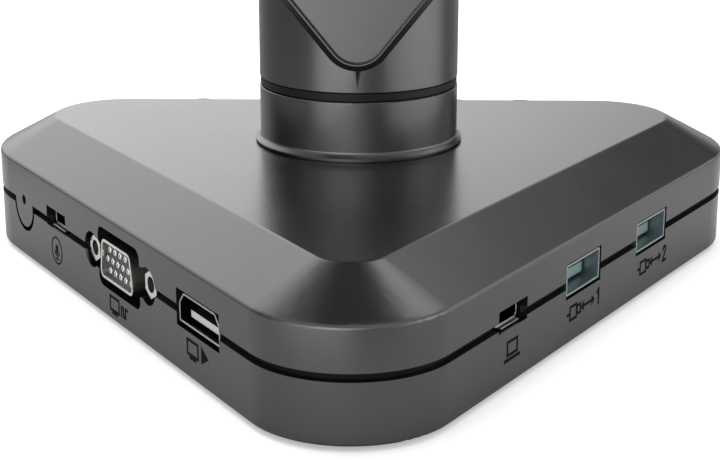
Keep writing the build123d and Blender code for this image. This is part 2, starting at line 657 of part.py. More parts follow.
column_plate = slab(-COLUMN_PLATE[0] / 2, COLUMN_PLATE[0] / 2, -COLUMN_PLATE[1] / 2, COLUMN_PLATE[1] / 2,
                    CEILING - COLUMN_PLATE[2], CEILING)
column_plate -= ring(BUSH_SLEEVE + 0.3, 0, CEILING - 4, CEILING + 1)
for x, y in COLLAR_SCREWS:
    column_plate -= Pos(x, y) * ring(1.8, 0, CEILING - 4, CEILING + 1)
column_plate = fillet(column_plate.edges().filter_by(Axis.Z), 4.0)

save("collar", make_collar())
save("swivel_ring", make_swivel_ring())
save("swivel_bush", make_bush())
save("column_plate", column_plate)
save("collar_screws", Compound(children=[
    screw(x, y, CEILING - COLUMN_PLATE[2] - 1.8, 1, 2.5, 1.5, 1.8, 10.5) for x, y in COLLAR_SCREWS
]))

HUB_SCREWS = ring_of(3, 11.2, 30)
NUT_HEIGHT = 3.6
SHAFT_BOTTOM = BUSH_BOTTOM - RUNNING_CLEARANCE - 0.6 - NUT_HEIGHT - 0.4

swivel_shaft = ring(SHAFT_RADIUS, SHAFT_BORE, SHAFT_BOTTOM, FLANGE_BOTTOM + 1)
swivel_shaft += ring(HUB_RADIUS - 0.6, SHAFT_BORE, FLANGE_BOTTOM, FLANGE_TOP)
for x, y in HUB_SCREWS:
    swivel_shaft -= Pos(x, y) * ring(1.3, 0, FLANGE_BOTTOM - 1, FLANGE_TOP + 1)
save("swivel_shaft", swivel_shaft)

washer_top = BUSH_BOTTOM - RUNNING_CLEARANCE
save("swivel_washer", ring(11.0, SHAFT_RADIUS + 0.05, washer_top - 0.6, washer_top))
nut = Pos(0, 0, washer_top - 0.6 - NUT_HEIGHT) * extrude(RegularPolygon(NUT_ACROSS, 6), NUT_HEIGHT)
save("swivel_nut", nut - ring(SHAFT_RADIUS + 0.02, 0, 0, washer_top))

# ================================================================ post
V_TIP_Z = POST_BOTTOM + V_VIRTUAL_TIP
POST_TOP = ELBOW_HEIGHT - 30.0
CORE_BOTTOM = FLANGE_TOP
CORE_WIDTH = 20.0
CORE_DEPTH = 12.0
CORE_BACK = -15.5
CUT_START = 66.0
EAR_CHEEK = 2.0
CHEEK_X = 13.0


def v_outline(inset):
    """Rear face in X and Z: V-shaped lower end, rounded shoulders, open-topped."""
    half = POST_WIDTH / 2 - inset
    tip = V_TIP_Z + inset / sin(V_HALF_ANGLE)
    shoulder = tip + half / tan(V_HALF_ANGLE)
    top = POST_TOP + 20 - inset
    points = [(0, tip), (half, shoulder), (half, top), (-half, top), (-half, shoulder)]
    face = make_face(Polyline(*points, close=True))
    low_first = face.vertices().sort_by(Axis.Y)
    face = fillet(low_first[1:3], max(SHOULDER_RADIUS - inset, 0.5))
    tip_vertex = face.vertices().sort_by(Axis.Y)[0]
    return fillet(tip_vertex, max(V_TIP_RADIUS - inset, 0.5))


def v_prism(inset, rear, front):
    """The rear outline extruded from y = rear to y = front."""
    return Plane.XZ.offset(-front).location * extrude(v_outline(inset), front - rear)


def ear_profile(inset=0.0):
    """Side view of the post's head in Y and Z: square shoulder at the rear, round barrel in front."""
    r = ELBOW_BARREL - inset
    rear, top = REAR_FACE + inset, ELBOW_HEIGHT + r
    low = POST_TOP - 4
    chin_y = POST_FRONT - inset
    chin_z = ELBOW_HEIGHT - ARM_START + 1.0
    back = make_face(Polyline(
        (rear, low), (rear, top), (ELBOW_FORWARD, top), (ELBOW_FORWARD, ELBOW_HEIGHT - r * 0.9),
        (chin_y, chin_z), (chin_y, low), close=True))
    corner = back.vertices().filter_by(lambda v: v.Y > top - 0.01 and v.X < rear + 0.01)
    back = fillet(corner, 18.0 - inset)
    return back + Pos(ELBOW_FORWARD, ELBOW_HEIGHT) * Circle(r)


def side_prism(profile, x0, x1):
    """Extrude a side view (Y, Z) along X."""
    return Plane.YZ.offset(x0).location * extrude(profile, x1 - x0)


def front_relief(grow=0.0):
    """Space in front of the post: upright front face, then a slope out to the round column."""
    y, z = POST_FRONT + grow, CUT_START + grow
    drop = (40 - y) * 14.0 / 14.38
    profile = make_face(Polyline((y, z), (y, 400), (40, 400), (40, z - drop), close=True))
    return side_prism(profile, -40, 40)



def rear_bevel_cut():
    """Ring-shaped wedge that bevels the rear face's edge."""
    outer = Plane.XZ.offset(-(REAR_FACE + BEVEL_DEPTH)).location * v_outline(0)
    inner = Plane.XZ.offset(-REAR_FACE).location * v_outline(BEVEL_WIDTH)
    return loft([inner, outer], ruled=True)


def make_post_shell():
    """Turning column and post: round foot, flat bevelled back with a V end, ears at the top."""
    column = ring(COLUMN_RADIUS, 0, POST_BOTTOM, 90) - front_relief()
    back = v_prism(0, REAR_FACE + BEVEL_DEPTH, POST_FRONT) + rear_bevel_cut()
    back = back & slab(-30, 30, -40, 40, 0, POST_TOP)
    ears = side_prism(ear_profile(), -POST_WIDTH / 2, POST_WIDTH / 2)
    ears &= slab(-30, 30, -40, 60, POST_TOP, 400)
    shell = column + back + ears
    # hollow for the core
    hollow = ring(COLUMN_RADIUS - POST_WALL, 0, POST_BOTTOM - 1, 60) - front_relief(-POST_WALL)
    hollow += slab(-POST_WIDTH / 2 + POST_WALL, POST_WIDTH / 2 - POST_WALL, REAR_FACE + 4.2, POST_FRONT - POST_WALL,
                   58, POST_TOP + 4)
    shell -= hollow & (ring(COLUMN_RADIUS - POST_WALL, 0, 0, 66) + slab(-30, 30, -40, 40, 66, 400))
    # seat for the rear panel
    seat = v_prism(BEVEL_WIDTH + PANEL_RIM, REAR_FACE - 1, REAR_FACE + PANEL_THICKNESS + 0.2)
    shell -= seat & slab(-30, 30, -40, 40, 0, POST_TOP)
    # slot between the ears, bracket slots, pin hole and cap recesses
    shell -= slab(-KNUCKLE_HALF - WASHER_THICKNESS - 0.1, KNUCKLE_HALF + WASHER_THICKNESS + 0.1,
                  POST_FRONT - 0.01, 60, POST_TOP - 10, 400)
    shell -= cross_pin(ELBOW_BARREL + 0.6, -KNUCKLE_HALF - WASHER_THICKNESS - 0.1,
                       KNUCKLE_HALF + WASHER_THICKNESS + 0.1, ELBOW_FORWARD, ELBOW_HEIGHT)
    for side in (-1, 1):
        shell -= bracket_cheek(side, 0.1)
    reach = POST_WIDTH / 2 + 1
    shell -= cross_pin(ELBOW_PIN + 0.02, -17.6, 17.6, ELBOW_FORWARD, ELBOW_HEIGHT)
    for side in (-1, 1):
        x0, x1 = sorted((side * 17.6, side * reach))
        shell -= cross_pin(CAP_RADIUS + 0.15, x0, x1, ELBOW_FORWARD, ELBOW_HEIGHT)
    return shell


CAP_RADIUS = 8.0


def bracket_cheek(side, grow=0.0):
    """One steel cheek that carries the elbow pin inside an ear."""
    x0, x1 = sorted((side * (CHEEK_X - grow), side * (CHEEK_X + EAR_CHEEK + grow)))
    low = POST_TOP - 14
    profile = make_face(Polyline(
        (CORE_BACK - grow, low), (CORE_BACK - grow, ELBOW_HEIGHT - 4), (ELBOW_FORWARD, ELBOW_HEIGHT + 7 + grow),
        (ELBOW_FORWARD, ELBOW_HEIGHT - 7 - grow), (POST_FRONT - POST_WALL - 0.8 + grow, ELBOW_HEIGHT - 24),
        (POST_FRONT - POST_WALL - 0.8 + grow, low), close=True))
    profile += Pos(ELBOW_FORWARD, ELBOW_HEIGHT) * Circle(7 + grow)
    return side_prism(profile, x0, x1)


def make_rear_panel():
    """Flat plate with a V-shaped lower end, held in the frame on the post's back."""
    inset = BEVEL_WIDTH + PANEL_RIM + PANEL_GAP
    top_cut = slab(-30, 30, -40, 40, 0, POST_TOP - PANEL_GAP)
    face = v_prism(inset, REAR_FACE + 0.15, REAR_FACE + PANEL_THICKNESS + 0.2)
    return face & top_cut


def make_post_core():
    """Welded steel core: foot plate on the shaft's flange and a square tube up to the elbow."""
    core = ring(HUB_RADIUS, SHAFT_BORE, CORE_BOTTOM, CORE_BOTTOM + 4)
    y0, y1 = CORE_BACK, CORE_BACK + CORE_DEPTH
    tube = slab(-CORE_WIDTH / 2, CORE_WIDTH / 2, y0, y1, CORE_BOTTOM + 3, POST_TOP + 2)
    tube -= slab(-CORE_WIDTH / 2 + 1.5, CORE_WIDTH / 2 - 1.5, y0 + 1.5, y1 - 1.5, CORE_BOTTOM + 2.5, POST_TOP + 3)
    room = ring(HUB_RADIUS, 0, CORE_BOTTOM, POST_BOTTOM + 0.6)
    room += ring(COLUMN_RADIUS - POST_WALL - 0.3, 0, POST_BOTTOM + 0.6, CUT_START + 0.5)
    tube &= room + slab(-20, 20, -20, 20, CUT_START + 0.5, 400)
    core += tube
    for x, y in HUB_SCREWS:
        core -= Pos(x, y) * ring(1.5, 0, CORE_BOTTOM - 1, CORE_BOTTOM + 5)
    return core


def make_elbow_bracket():
    """Two cheeks bridged under the elbow, clamped round the core's upper end."""
    low = POST_TOP - 14
    bridge = slab(-CHEEK_X - 0.5, CHEEK_X + 0.5, CORE_BACK + CORE_DEPTH, CORE_BACK + CORE_DEPTH + 2, low, POST_TOP - 2)
    bracket = bridge + bracket_cheek(-1) + bracket_cheek(1)
    return bracket - cross_pin(ELBOW_PIN + 0.02, -20, 20, ELBOW_FORWARD, ELBOW_HEIGHT)


save("post_shell", make_post_shell())
save("rear_panel", make_rear_panel())
save("post_core", make_post_core())
save("elbow_bracket", make_elbow_bracket())
save("hub_screws", Compound(children=[
    screw(x, y, CORE_BOTTOM + 4 + 1.6, -1, 2.2, 1.25, 1.6, 6.5) for x, y in HUB_SCREWS
]))
save("elbow_pin", cross_pin(ELBOW_PIN, -17.4, 17.4, ELBOW_FORWARD, ELBOW_HEIGHT))


def washer_pair(half, thickness, outer, inner, y, z):
    """Two washers, one each side of a knuckle."""
    solids = []
    for side in (-1, 1):
        x0, x1 = sorted((side * half, side * (half + thickness)))
        solids.append(cross_pin(outer, x0, x1, y, z) - cross_pin(inner, x0 - 1, x1 + 1, y, z))
    return Compound(children=solids)


save("elbow_washers", washer_pair(KNUCKLE_HALF + SIDE_GAP, WASHER_THICKNESS, 9.0, ELBOW_PIN + 0.03,
                                  ELBOW_FORWARD, ELBOW_HEIGHT))


def make_elbow_cap(side):
    """Round cover over a pin end, crowned at its edge."""
    x0, x1 = sorted((side * 17.65, side * (POST_WIDTH / 2 + 0.4)))
    cap = cross_pin(CAP_RADIUS, x0, x1, ELBOW_FORWARD, ELBOW_HEIGHT)
    edge = cap.edges().filter_by(GeomType.CIRCLE).sort_by(lambda e: side * e.center().X)[-1]
    return fillet(edge, 0.4)


save("elbow_caps", Compound(children=[make_elbow_cap(-1), make_elbow_cap(1)]))


# ================================================================ arm
ARM_Y0 = ELBOW_FORWARD + ARM_START
ARM_Y1 = TILT_FORWARD - ARM_END
ARM_CORE_WIDTH = 18.0
ARM_CORE_DEPTH = 8.0
TILT_EAR_IN = TILT_KNUCKLE_HALF + 0.5
ARM_SCREWS = [(0, ARM_Y0 + 14), (0, ARM_Y1 - 14)]


def arm_block(inset):
    """Rounded box between the two hinges."""
    half, depth = ARM_WIDTH / 2 - inset, ARM_DEPTH / 2 - inset
    section = RectangleRounded(2 * half, 2 * depth, 5.0 - inset)
    length = ARM_Y1 - ARM_Y0 - 2 * inset
    body = Plane.XZ.offset(-(ARM_Y1 - inset)).location * extrude(section, length)
    return Pos(0, 0, ELBOW_HEIGHT) * body


def make_arm_core():
    """Cast core: elbow barrel, neck, flat bar and the two tilt ears."""
    core = cross_pin(ELBOW_BARREL - 0.2, -KNUCKLE_HALF, KNUCKLE_HALF, ELBOW_FORWARD, ELBOW_HEIGHT)
    neck = slab(-KNUCKLE_HALF, KNUCKLE_HALF, ELBOW_FORWARD, ARM_Y0 + ARM_WALL, ELBOW_HEIGHT - 6.5, ELBOW_HEIGHT + 6.5)
    bar = slab(-ARM_CORE_WIDTH / 2, ARM_CORE_WIDTH / 2, ARM_Y0, ARM_Y1 - 4, ELBOW_HEIGHT - ARM_CORE_DEPTH / 2,
               ELBOW_HEIGHT + ARM_CORE_DEPTH / 2)
    core += neck + bar
    for side in (-1, 1):
        x0, x1 = sorted((side * TILT_EAR_IN, side * (ARM_WIDTH / 2 - 1.0)))
        ear = cross_pin(TILT_BARREL, x0, x1, TILT_FORWARD, ELBOW_HEIGHT)
        ear += slab(x0, x1, ARM_Y1 - 8, TILT_FORWARD, ELBOW_HEIGHT - 6, ELBOW_HEIGHT + 6)
        core += ear
    core += slab(-ARM_WIDTH / 2 + 3, ARM_WIDTH / 2 - 3, ARM_Y1 - 12, ARM_Y1 - 4, ELBOW_HEIGHT - 4, ELBOW_HEIGHT + 4)
    core -= cross_pin(ELBOW_PIN + RUNNING_CLEARANCE, -20, 20, ELBOW_FORWARD, ELBOW_HEIGHT)
    core -= cross_pin(TILT_PIN + 0.02, -16.2, 16.2, TILT_FORWARD, ELBOW_HEIGHT)
    for x, y in ARM_SCREWS:
        core -= Pos(x, y) * ring(1.8, 0, ELBOW_HEIGHT - 20, ELBOW_HEIGHT + 20)
    return core


def arm_hollow():
    """Room for the core inside the two arm shells."""
    room = arm_block(ARM_WALL)
    room += slab(-KNUCKLE_HALF - 0.1, KNUCKLE_HALF + 0.1, ARM_Y0 - 1, ARM_Y0 + 4, ELBOW_HEIGHT - 6.6, ELBOW_HEIGHT + 6.6)
    for side in (-1, 1):
        x0, x1 = sorted((side * (TILT_EAR_IN - 0.1), side * (ARM_WIDTH / 2 - 0.9)))
        room += slab(x0, x1, ARM_Y1 - 9, ARM_Y1 + 1, ELBOW_HEIGHT - 6.1, ELBOW_HEIGHT + 6.1)
    return room


def make_arm_shell(upper):
    """Half of the arm's casing, with ribs that sit on the core."""
    sign = 1 if upper else -1
    z0, z1 = sorted((ELBOW_HEIGHT + sign * ARM_SEAM / 2, ELBOW_HEIGHT + sign * 30))
    shell = (arm_block(0) - arm_hollow()) & slab(-40, 40, ARM_Y0 - 5, ARM_Y1 + 5, z0, z1)
    z0, z1 = sorted((ELBOW_HEIGHT + sign * ARM_CORE_DEPTH / 2, ELBOW_HEIGHT + sign * (ARM_DEPTH / 2 - 0.5)))
    for x, y in ARM_SCREWS:
        shell += Pos(x, y) * ring(4.0, 0, z0, z1)
        if upper:
            shell -= Pos(x, y) * ring(1.2, 0, z0 - 1, z1 - 1.2)
        else:
            shell -= Pos(x, y) * ring(1.5, 0, z0 - 3, z1 + 1)
            shell -= Pos(x, y) * ring(2.8, 0, ELBOW_HEIGHT - ARM_DEPTH, ELBOW_HEIGHT - ARM_DEPTH / 2 + 2.2)
    return shell


save("arm_core", make_arm_core())
save("arm_upper_cover", make_arm_shell(True))
save("arm_lower_shell", make_arm_shell(False))
save("arm_screws", Compound(children=[
    screw(x, y, ELBOW_HEIGHT - ARM_DEPTH / 2 + 0.5, 1, 2.6, 1.15, 1.7, ARM_DEPTH - 6.0) for x, y in ARM_SCREWS
]))
save("tilt_pin", cross_pin(TILT_PIN, -15.9, 15.9, TILT_FORWARD, ELBOW_HEIGHT))
save("tilt_washers", washer_pair(TILT_KNUCKLE_HALF + SIDE_GAP, 0.4, 6.0, TILT_PIN + 0.03, TILT_FORWARD, ELBOW_HEIGHT))

# ================================================================ camera head
HEAD_Y0 = TILT_FORWARD + HEAD_START
HEAD_Y1 = HEAD_Y0 + HEAD_LENGTH
HEAD_MID_Y = (HEAD_Y0 + HEAD_Y1) / 2
HEAD_BOTTOM = ELBOW_HEIGHT - HEAD_DEPTH / 2
HEAD_SEAM = 0.4
SENSOR_Z = ELBOW_HEIGHT + 1.0
HEAD_SCREWS = [(-17, HEAD_Y0 + 8), (17, HEAD_Y0 + 8), (-17, HEAD_Y1 - 7), (17, HEAD_Y1 - 7)]
LIGHT_Y = HEAD_Y0 + 9.0
LIGHT_SIZE = (24.0, 6.0)
BEZEL_RADIUS = 12.5


def head_block(inset):
    """Rounded box of the head, its edges softened."""
    plan = RectangleRounded(HEAD_WIDTH - 2 * inset, HEAD_LENGTH - 2 * inset, 10.0 - inset)
    body = Pos(0, HEAD_MID_Y, HEAD_BOTTOM + inset) * extrude(plan, HEAD_DEPTH - 2 * inset)
    if inset == 0:
        rims = body.edges().filter_by(lambda e: abs(abs(e.center().Z - ELBOW_HEIGHT) - HEAD_DEPTH / 2) < 0.01)
        body = fillet(rims, 2.5)
    return body


def make_head_frame():
    """Cast frame: tilt knuckle, neck and the plate that carries the sensor board."""
    frame = cross_pin(TILT_BARREL, -TILT_KNUCKLE_HALF, TILT_KNUCKLE_HALF, TILT_FORWARD, ELBOW_HEIGHT)
    frame += slab(-TILT_KNUCKLE_HALF, TILT_KNUCKLE_HALF, TILT_FORWARD, HEAD_Y0 + HEAD_WALL + 2,
                  ELBOW_HEIGHT - 5, ELBOW_HEIGHT + 5)
    plate_low = SENSOR_Z + 1.4
    frame += slab(-TILT_KNUCKLE_HALF, TILT_KNUCKLE_HALF, HEAD_Y0 + HEAD_WALL, HEAD_Y1 - 8, plate_low, plate_low + 2.2)
    frame -= cross_pin(TILT_PIN + RUNNING_CLEARANCE, -20, 20, TILT_FORWARD, ELBOW_HEIGHT)
    return frame


def head_room():
    """Inside of the head, with the neck's slot."""
    slot = slab(-TILT_KNUCKLE_HALF - 0.1, TILT_KNUCKLE_HALF + 0.1, HEAD_Y0 - 1, HEAD_Y0 + 5,
                ELBOW_HEIGHT - 5.1, ELBOW_HEIGHT + 5.1)
    return head_block(HEAD_WALL) + slot


def make_head_shell(upper):
    """Upper or lower half of the head's casing."""
    sign = 1 if upper else -1
    z0, z1 = sorted((ELBOW_HEIGHT + sign * HEAD_SEAM / 2, ELBOW_HEIGHT + sign * 30))
    shell = (head_block(0) - head_room()) & slab(-40, 40, HEAD_Y0 - 5, HEAD_Y1 + 5, z0, z1)
    z0, z1 = sorted((ELBOW_HEIGHT + sign * 0.3, ELBOW_HEIGHT + sign * (HEAD_DEPTH / 2 - 0.8)))
    for x, y in HEAD_SCREWS:
        shell += Pos(x, y) * ring(3.0, 0, z0, z1)
        if upper:
            shell -= Pos(x, y) * ring(0.95, 0, z0 - 1, z1 - 1.2)
        else:
            shell -= Pos(x, y) * ring(1.2, 0, z0 - 1, z1 + 1)
            shell -= Pos(x, y) * ring(2.2, 0, HEAD_BOTTOM - 1, HEAD_BOTTOM + 2.0)
    if not upper:
        shell -= Pos(0, LENS_FORWARD) * ring(LENS_RADIUS + 0.2, 0, HEAD_BOTTOM - 1, HEAD_BOTTOM + HEAD_WALL + 1)
        shell -= Pos(0, LENS_FORWARD) * ring(BEZEL_RADIUS + 0.1, 0, HEAD_BOTTOM - 1, HEAD_BOTTOM + 0.8)
        window = Pos(0, LIGHT_Y) * RectangleRounded(LIGHT_SIZE[0] + 0.2, LIGHT_SIZE[1] + 0.2, 2.9)
        shell -= Pos(0, 0, HEAD_BOTTOM - 1) * extrude(window, HEAD_WALL + 2)
    return shell


save("head_frame", make_head_frame())
save("head_upper_shell", make_head_shell(True))
save("head_lower_shell", make_head_shell(False))
save("head_screws", Compound(children=[
    screw(x, y, HEAD_BOTTOM + 0.4, 1, 2.0, 0.9, 1.6, HEAD_DEPTH - 8.0) for x, y in HEAD_SCREWS
]))

sensor_board = slab(-14, 14, LENS_FORWARD - 14, LENS_FORWARD + 14, SENSOR_Z, SENSOR_Z + 1.4)
save("sensor_board", sensor_board)


def make_lens_barrel():
    """Stepped barrel that holds the glass, screwed to the sensor board's mount."""
    barrel = ring(LENS_RADIUS, LENS_RADIUS - 1.5, HEAD_BOTTOM + 0.8, SENSOR_Z - 4)
    barrel += ring(LENS_RADIUS, 3.5, HEAD_BOTTOM + 5, HEAD_BOTTOM + 7)
    barrel += ring(7.0, 3.5, HEAD_BOTTOM + 6, SENSOR_Z)
    return Pos(0, LENS_FORWARD) * barrel


def make_lens_glass():
    """Front element: flat behind, gently domed in front."""
    radius, crown = LENS_RADIUS - 1.55, 1.2
    low = HEAD_BOTTOM + 1.0
    dome = (radius ** 2 + crown ** 2) / (2 * crown)
    glass = ring(radius, 0, low, low + crown + 2.6) & Pos(0, 0, low + dome) * Sphere(dome)
    return Pos(0, LENS_FORWARD) * glass


def make_lens_bezel():
    """Trim ring round the lens, with a coned inner wall."""
    low = HEAD_BOTTOM - 0.3
    profile = make_face(Polyline(
        (LENS_RADIUS - 0.2, HEAD_BOTTOM + 0.75), (BEZEL_RADIUS, HEAD_BOTTOM + 0.75), (BEZEL_RADIUS, low + 0.3),
        (BEZEL_RADIUS - 0.4, low), (LENS_RADIUS + 1.2, low), close=True))
    return Pos(0, LENS_FORWARD) * revolve(Plane.XZ.location * profile, Axis.Z)


save("lens_barrel", make_lens_barrel())
save("lens_glass", make_lens_glass())
save("lens_bezel", make_lens_bezel())

diffuser_plan = Pos(0, LIGHT_Y) * RectangleRounded(*LIGHT_SIZE, 2.8)
diffuser = Pos(0, 0, HEAD_BOTTOM + 0.1) * extrude(diffuser_plan, HEAD_WALL + 0.4)
diffuser += slab(-LIGHT_SIZE[0] / 2 - 1, LIGHT_SIZE[0] / 2 + 1, LIGHT_Y - 4, LIGHT_Y + 4,
                 HEAD_BOTTOM + HEAD_WALL + 0.02, HEAD_BOTTOM + HEAD_WALL + 1.0)
save("light_diffuser", diffuser)

LIGHT_BOARD_Z = HEAD_BOTTOM + HEAD_WALL + 2.2
light_board = slab(-13, 13, LIGHT_Y - 4, LIGHT_Y + 4, LIGHT_BOARD_Z, LIGHT_BOARD_Z + 1.2)
for x in (-9, -3, 3, 9):
    light_board += slab(x - 1.4, x + 1.4, LIGHT_Y - 1.4, LIGHT_Y + 1.4, HEAD_BOTTOM + HEAD_WALL + 1.0, LIGHT_BOARD_Z)
save("light_board", light_board)
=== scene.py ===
import bmesh
import bpy
import math
from mathutils import Matrix, Vector
from mathutils.bvhtree import BVHTree


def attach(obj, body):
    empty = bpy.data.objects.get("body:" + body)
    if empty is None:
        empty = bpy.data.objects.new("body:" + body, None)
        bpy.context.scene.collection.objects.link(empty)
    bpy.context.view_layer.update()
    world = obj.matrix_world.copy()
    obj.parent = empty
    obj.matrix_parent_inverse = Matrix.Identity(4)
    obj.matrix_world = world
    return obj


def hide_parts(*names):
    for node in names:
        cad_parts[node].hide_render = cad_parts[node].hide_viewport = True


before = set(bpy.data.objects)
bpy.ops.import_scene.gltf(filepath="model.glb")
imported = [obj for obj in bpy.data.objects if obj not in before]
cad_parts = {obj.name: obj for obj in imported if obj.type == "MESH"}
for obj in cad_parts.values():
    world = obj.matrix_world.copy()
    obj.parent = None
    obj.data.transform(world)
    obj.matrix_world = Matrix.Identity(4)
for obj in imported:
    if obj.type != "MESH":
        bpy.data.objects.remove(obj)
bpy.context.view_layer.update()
scene = bpy.context.scene

# ---------------------------------------------------------------- camera, floor and studio
# A pale sheet under the document camera, a white room round it, and a camera low behind the
# base, where the sockets are. The sheet and the room are plain white to the eye, and the room
# is brighter overhead and behind the desk than at the sides, as with soft boxes.


def linear(hex_colour):
    """An sRGB hex colour as the linear RGBA that a shader takes."""
    parts = [int(hex_colour[i:i + 2], 16) / 255 for i in (1, 3, 5)]
    return [c / 12.92 if c <= 0.04045 else ((c + 0.055) / 1.055) ** 2.4 for c in parts] + [1.0]


def add(tree, kind, links=None, **settings):
    """Adds a node; settings are its options or socket values, and links feed its sockets."""
    node = tree.nodes.new(kind)
    for key, value in settings.items():
        if hasattr(node, key):
            setattr(node, key, value)
        else:
            index = int(key[2:]) if key.startswith("in") and key[2:].isdigit() else key.replace("_", " ")
            node.inputs[index].default_value = value
    for key, source in (links or {}).items():
        socket = node.inputs[key] if isinstance(key, int) else node.inputs[key.replace("_", " ")]
        tree.links.new(source, socket)
    return node


MM = 0.001
EYE = Vector((0.00534, -0.32230, 0.10439))
EYE_PITCH = math.radians(16.805)
EYE_YAW = math.radians(-0.9)
EYE_ROLL = math.radians(0.041)

eye_data = bpy.data.cameras.new("eye")
eye_data.lens = 83.34
eye_data.sensor_width = 36.0
eye_data.clip_start = 0.01
eye = bpy.data.objects.new("eye", eye_data)
scene.collection.objects.link(eye)
forward = Vector((math.sin(EYE_YAW) * math.cos(EYE_PITCH), math.cos(EYE_YAW) * math.cos(EYE_PITCH),
                  -math.sin(EYE_PITCH)))
turn = forward.to_track_quat("-Z", "Y").to_matrix() @ Matrix.Rotation(EYE_ROLL, 3, "Z")
eye.matrix_world = Matrix.Translation(EYE) @ turn.to_4x4()
scene.camera = eye
scene.view_settings.view_transform = "Standard"

# room: white to the eye; lobes of light at set bearings for what the paint mirrors
LOBES = [
    # bearing from straight ahead (right positive), elevation, half width in degrees, added level
    (-34, 30, 30, 1.22),
    (-6, 16, 22, 0.88),
    (7, 13, 10, -0.27),
    (31, 20, 18, -0.85),
    (38, 50, 15, 1.5),
    (-40, 58, 16, -0.5),
    (-14, 76, 18, -0.8),
    (38, 70, 15, -0.8),
    (-52, 12, 14, 0.5),
    (62, 14, 20, 0.5),
    (98, 12, 30, 1.6),
    (-86, 12, 26, -0.5),
    (-130, 12, 18, 0.9),
    (-158, 12, 24, 2.6),
    (180, 14, 20, 1.6),
]
world = bpy.data.worlds.new("studio")
scene.world = world
world.use_nodes = True
sky = world.node_tree
sky.nodes.clear()
bearing = add(sky, "ShaderNodeTexCoord")
PLAIN_LEVEL = 0.85
LEVEL_FOR_MATT = 0.75
room_level = add(sky, "ShaderNodeValue").outputs[0]
room_level.default_value = PLAIN_LEVEL
for azimuth, elevation, half_width, extra in LOBES:
    a, e = math.radians(azimuth), math.radians(elevation)
    aim = (math.sin(a) * math.cos(e), math.cos(a) * math.cos(e), math.sin(e))
    along = add(sky, "ShaderNodeVectorMath", {0: bearing.outputs["Generated"]}, operation="DOT_PRODUCT",
                in1=aim)
    soft = add(sky, "ShaderNodeMapRange", {"Value": along.outputs["Value"]}, interpolation_type="SMOOTHSTEP",
               From_Min=math.cos(math.radians(half_width)), From_Max=1.0, To_Min=0.0, To_Max=extra)
    room_level = add(sky, "ShaderNodeMath", {0: room_level, 1: soft.outputs[0]}, operation="ADD").outputs[0]
room_level = add(sky, "ShaderNodeMath", {0: room_level}, operation="MAXIMUM", in1=0.05).outputs[0]
path = add(sky, "ShaderNodeLightPath")
plain = add(sky, "ShaderNodeMix", {0: path.outputs["Is Diffuse Ray"], 2: room_level}, data_type="FLOAT",
            in3=LEVEL_FOR_MATT)
to_eye = add(sky, "ShaderNodeMix", {0: path.outputs["Is Camera Ray"], 2: plain.outputs[0]}, data_type="FLOAT",
             in3=1.0)
glow = add(sky, "ShaderNodeBackground", {"Strength": to_eye.outputs[0]}, Color=linear("#ffffff"))
add(sky, "ShaderNodeOutputWorld", {"Surface": glow.outputs[0]})

# one broad lamp overhead gives the contact shadow on the sheet
lamp_data = bpy.data.lights.new("overhead_box", "AREA")
lamp_data.shape = "RECTANGLE"
lamp_data.size = 1.2
lamp_data.size_y = 1.0
lamp_data.energy = 9.0
lamp = bpy.data.objects.new("overhead_box", lamp_data)
scene.collection.objects.link(lamp)
lamp.location = (-0.15, 0.25, 1.1)
lamp.visible_glossy = False
lamp.rotation_euler = Vector((0.15, -0.25, -1.1)).to_track_quat("-Z", "Y").to_euler()

sheet = bpy.data.meshes.new("floor_sheet")
sheet.from_pydata([(-3, -3, 0), (3, -3, 0), (3, 3, 0), (-3, 3, 0)], [], [(0, 1, 2, 3)])
floor = bpy.data.objects.new("floor_sheet", sheet)
scene.collection.objects.link(floor)

# matt paper sheet: white to the eye, with a faint tooth. What the gloss mirrors of it is uneven,
# in painted light: painted shade far to the front, with two brighter bands of painted light behind the column.
PAINTED_LIGHT_BANDS = [
    # bearing of the band, half width in degrees, added level
    (-157, 32, 1.7),
    (110, 48, 1.3),
]
PAINTED_MIRROR_LEVEL_FAR = 0.3
PAINTED_MIRROR_LEVEL_NEAR = 0.68
paper = bpy.data.materials.new("matt_paper")
paper.use_nodes = True
tree = paper.node_tree
tree.nodes.clear()
place = add(tree, "ShaderNodeTexCoord")
tooth = add(tree, "ShaderNodeTexNoise", {"Vector": place.outputs["Object"]}, Scale=900.0, Detail=2.0)
raised = add(tree, "ShaderNodeBump", {"Height": tooth.outputs["Fac"]}, Strength=0.05, Distance=0.0001)
way_out = add(tree, "ShaderNodeVectorMath", {0: place.outputs["Object"]}, operation="NORMALIZE")
reach = add(tree, "ShaderNodeVectorMath", {0: place.outputs["Object"]}, operation="LENGTH")
far_off = add(tree, "ShaderNodeMapRange", {"Value": reach.outputs["Value"]}, interpolation_type="SMOOTHSTEP",
              From_Min=0.12, From_Max=0.2)
painted_band_level = None
for azimuth, half_width, extra in PAINTED_LIGHT_BANDS:
    a = math.radians(azimuth)
    along = add(tree, "ShaderNodeVectorMath", {0: way_out.outputs["Vector"]}, operation="DOT_PRODUCT",
                in1=(math.sin(a), math.cos(a), 0))
    band = add(tree, "ShaderNodeMapRange", {"Value": along.outputs["Value"]}, interpolation_type="SMOOTHSTEP",
               From_Min=math.cos(math.radians(half_width)), To_Max=extra)
    if painted_band_level is None:
        painted_band_level = add(tree, "ShaderNodeMath", {0: band.outputs[0]}, operation="ADD", in1=PAINTED_MIRROR_LEVEL_FAR)
    else:
        painted_band_level = add(tree, "ShaderNodeMath", {0: band.outputs[0], 1: painted_band_level.outputs[0]},
                         operation="ADD")
painted_mirror_level = add(tree, "ShaderNodeMix", {0: far_off.outputs[0], 3: painted_band_level.outputs[0]}, data_type="FLOAT",
            in2=PAINTED_MIRROR_LEVEL_NEAR)
path = add(tree, "ShaderNodeLightPath")
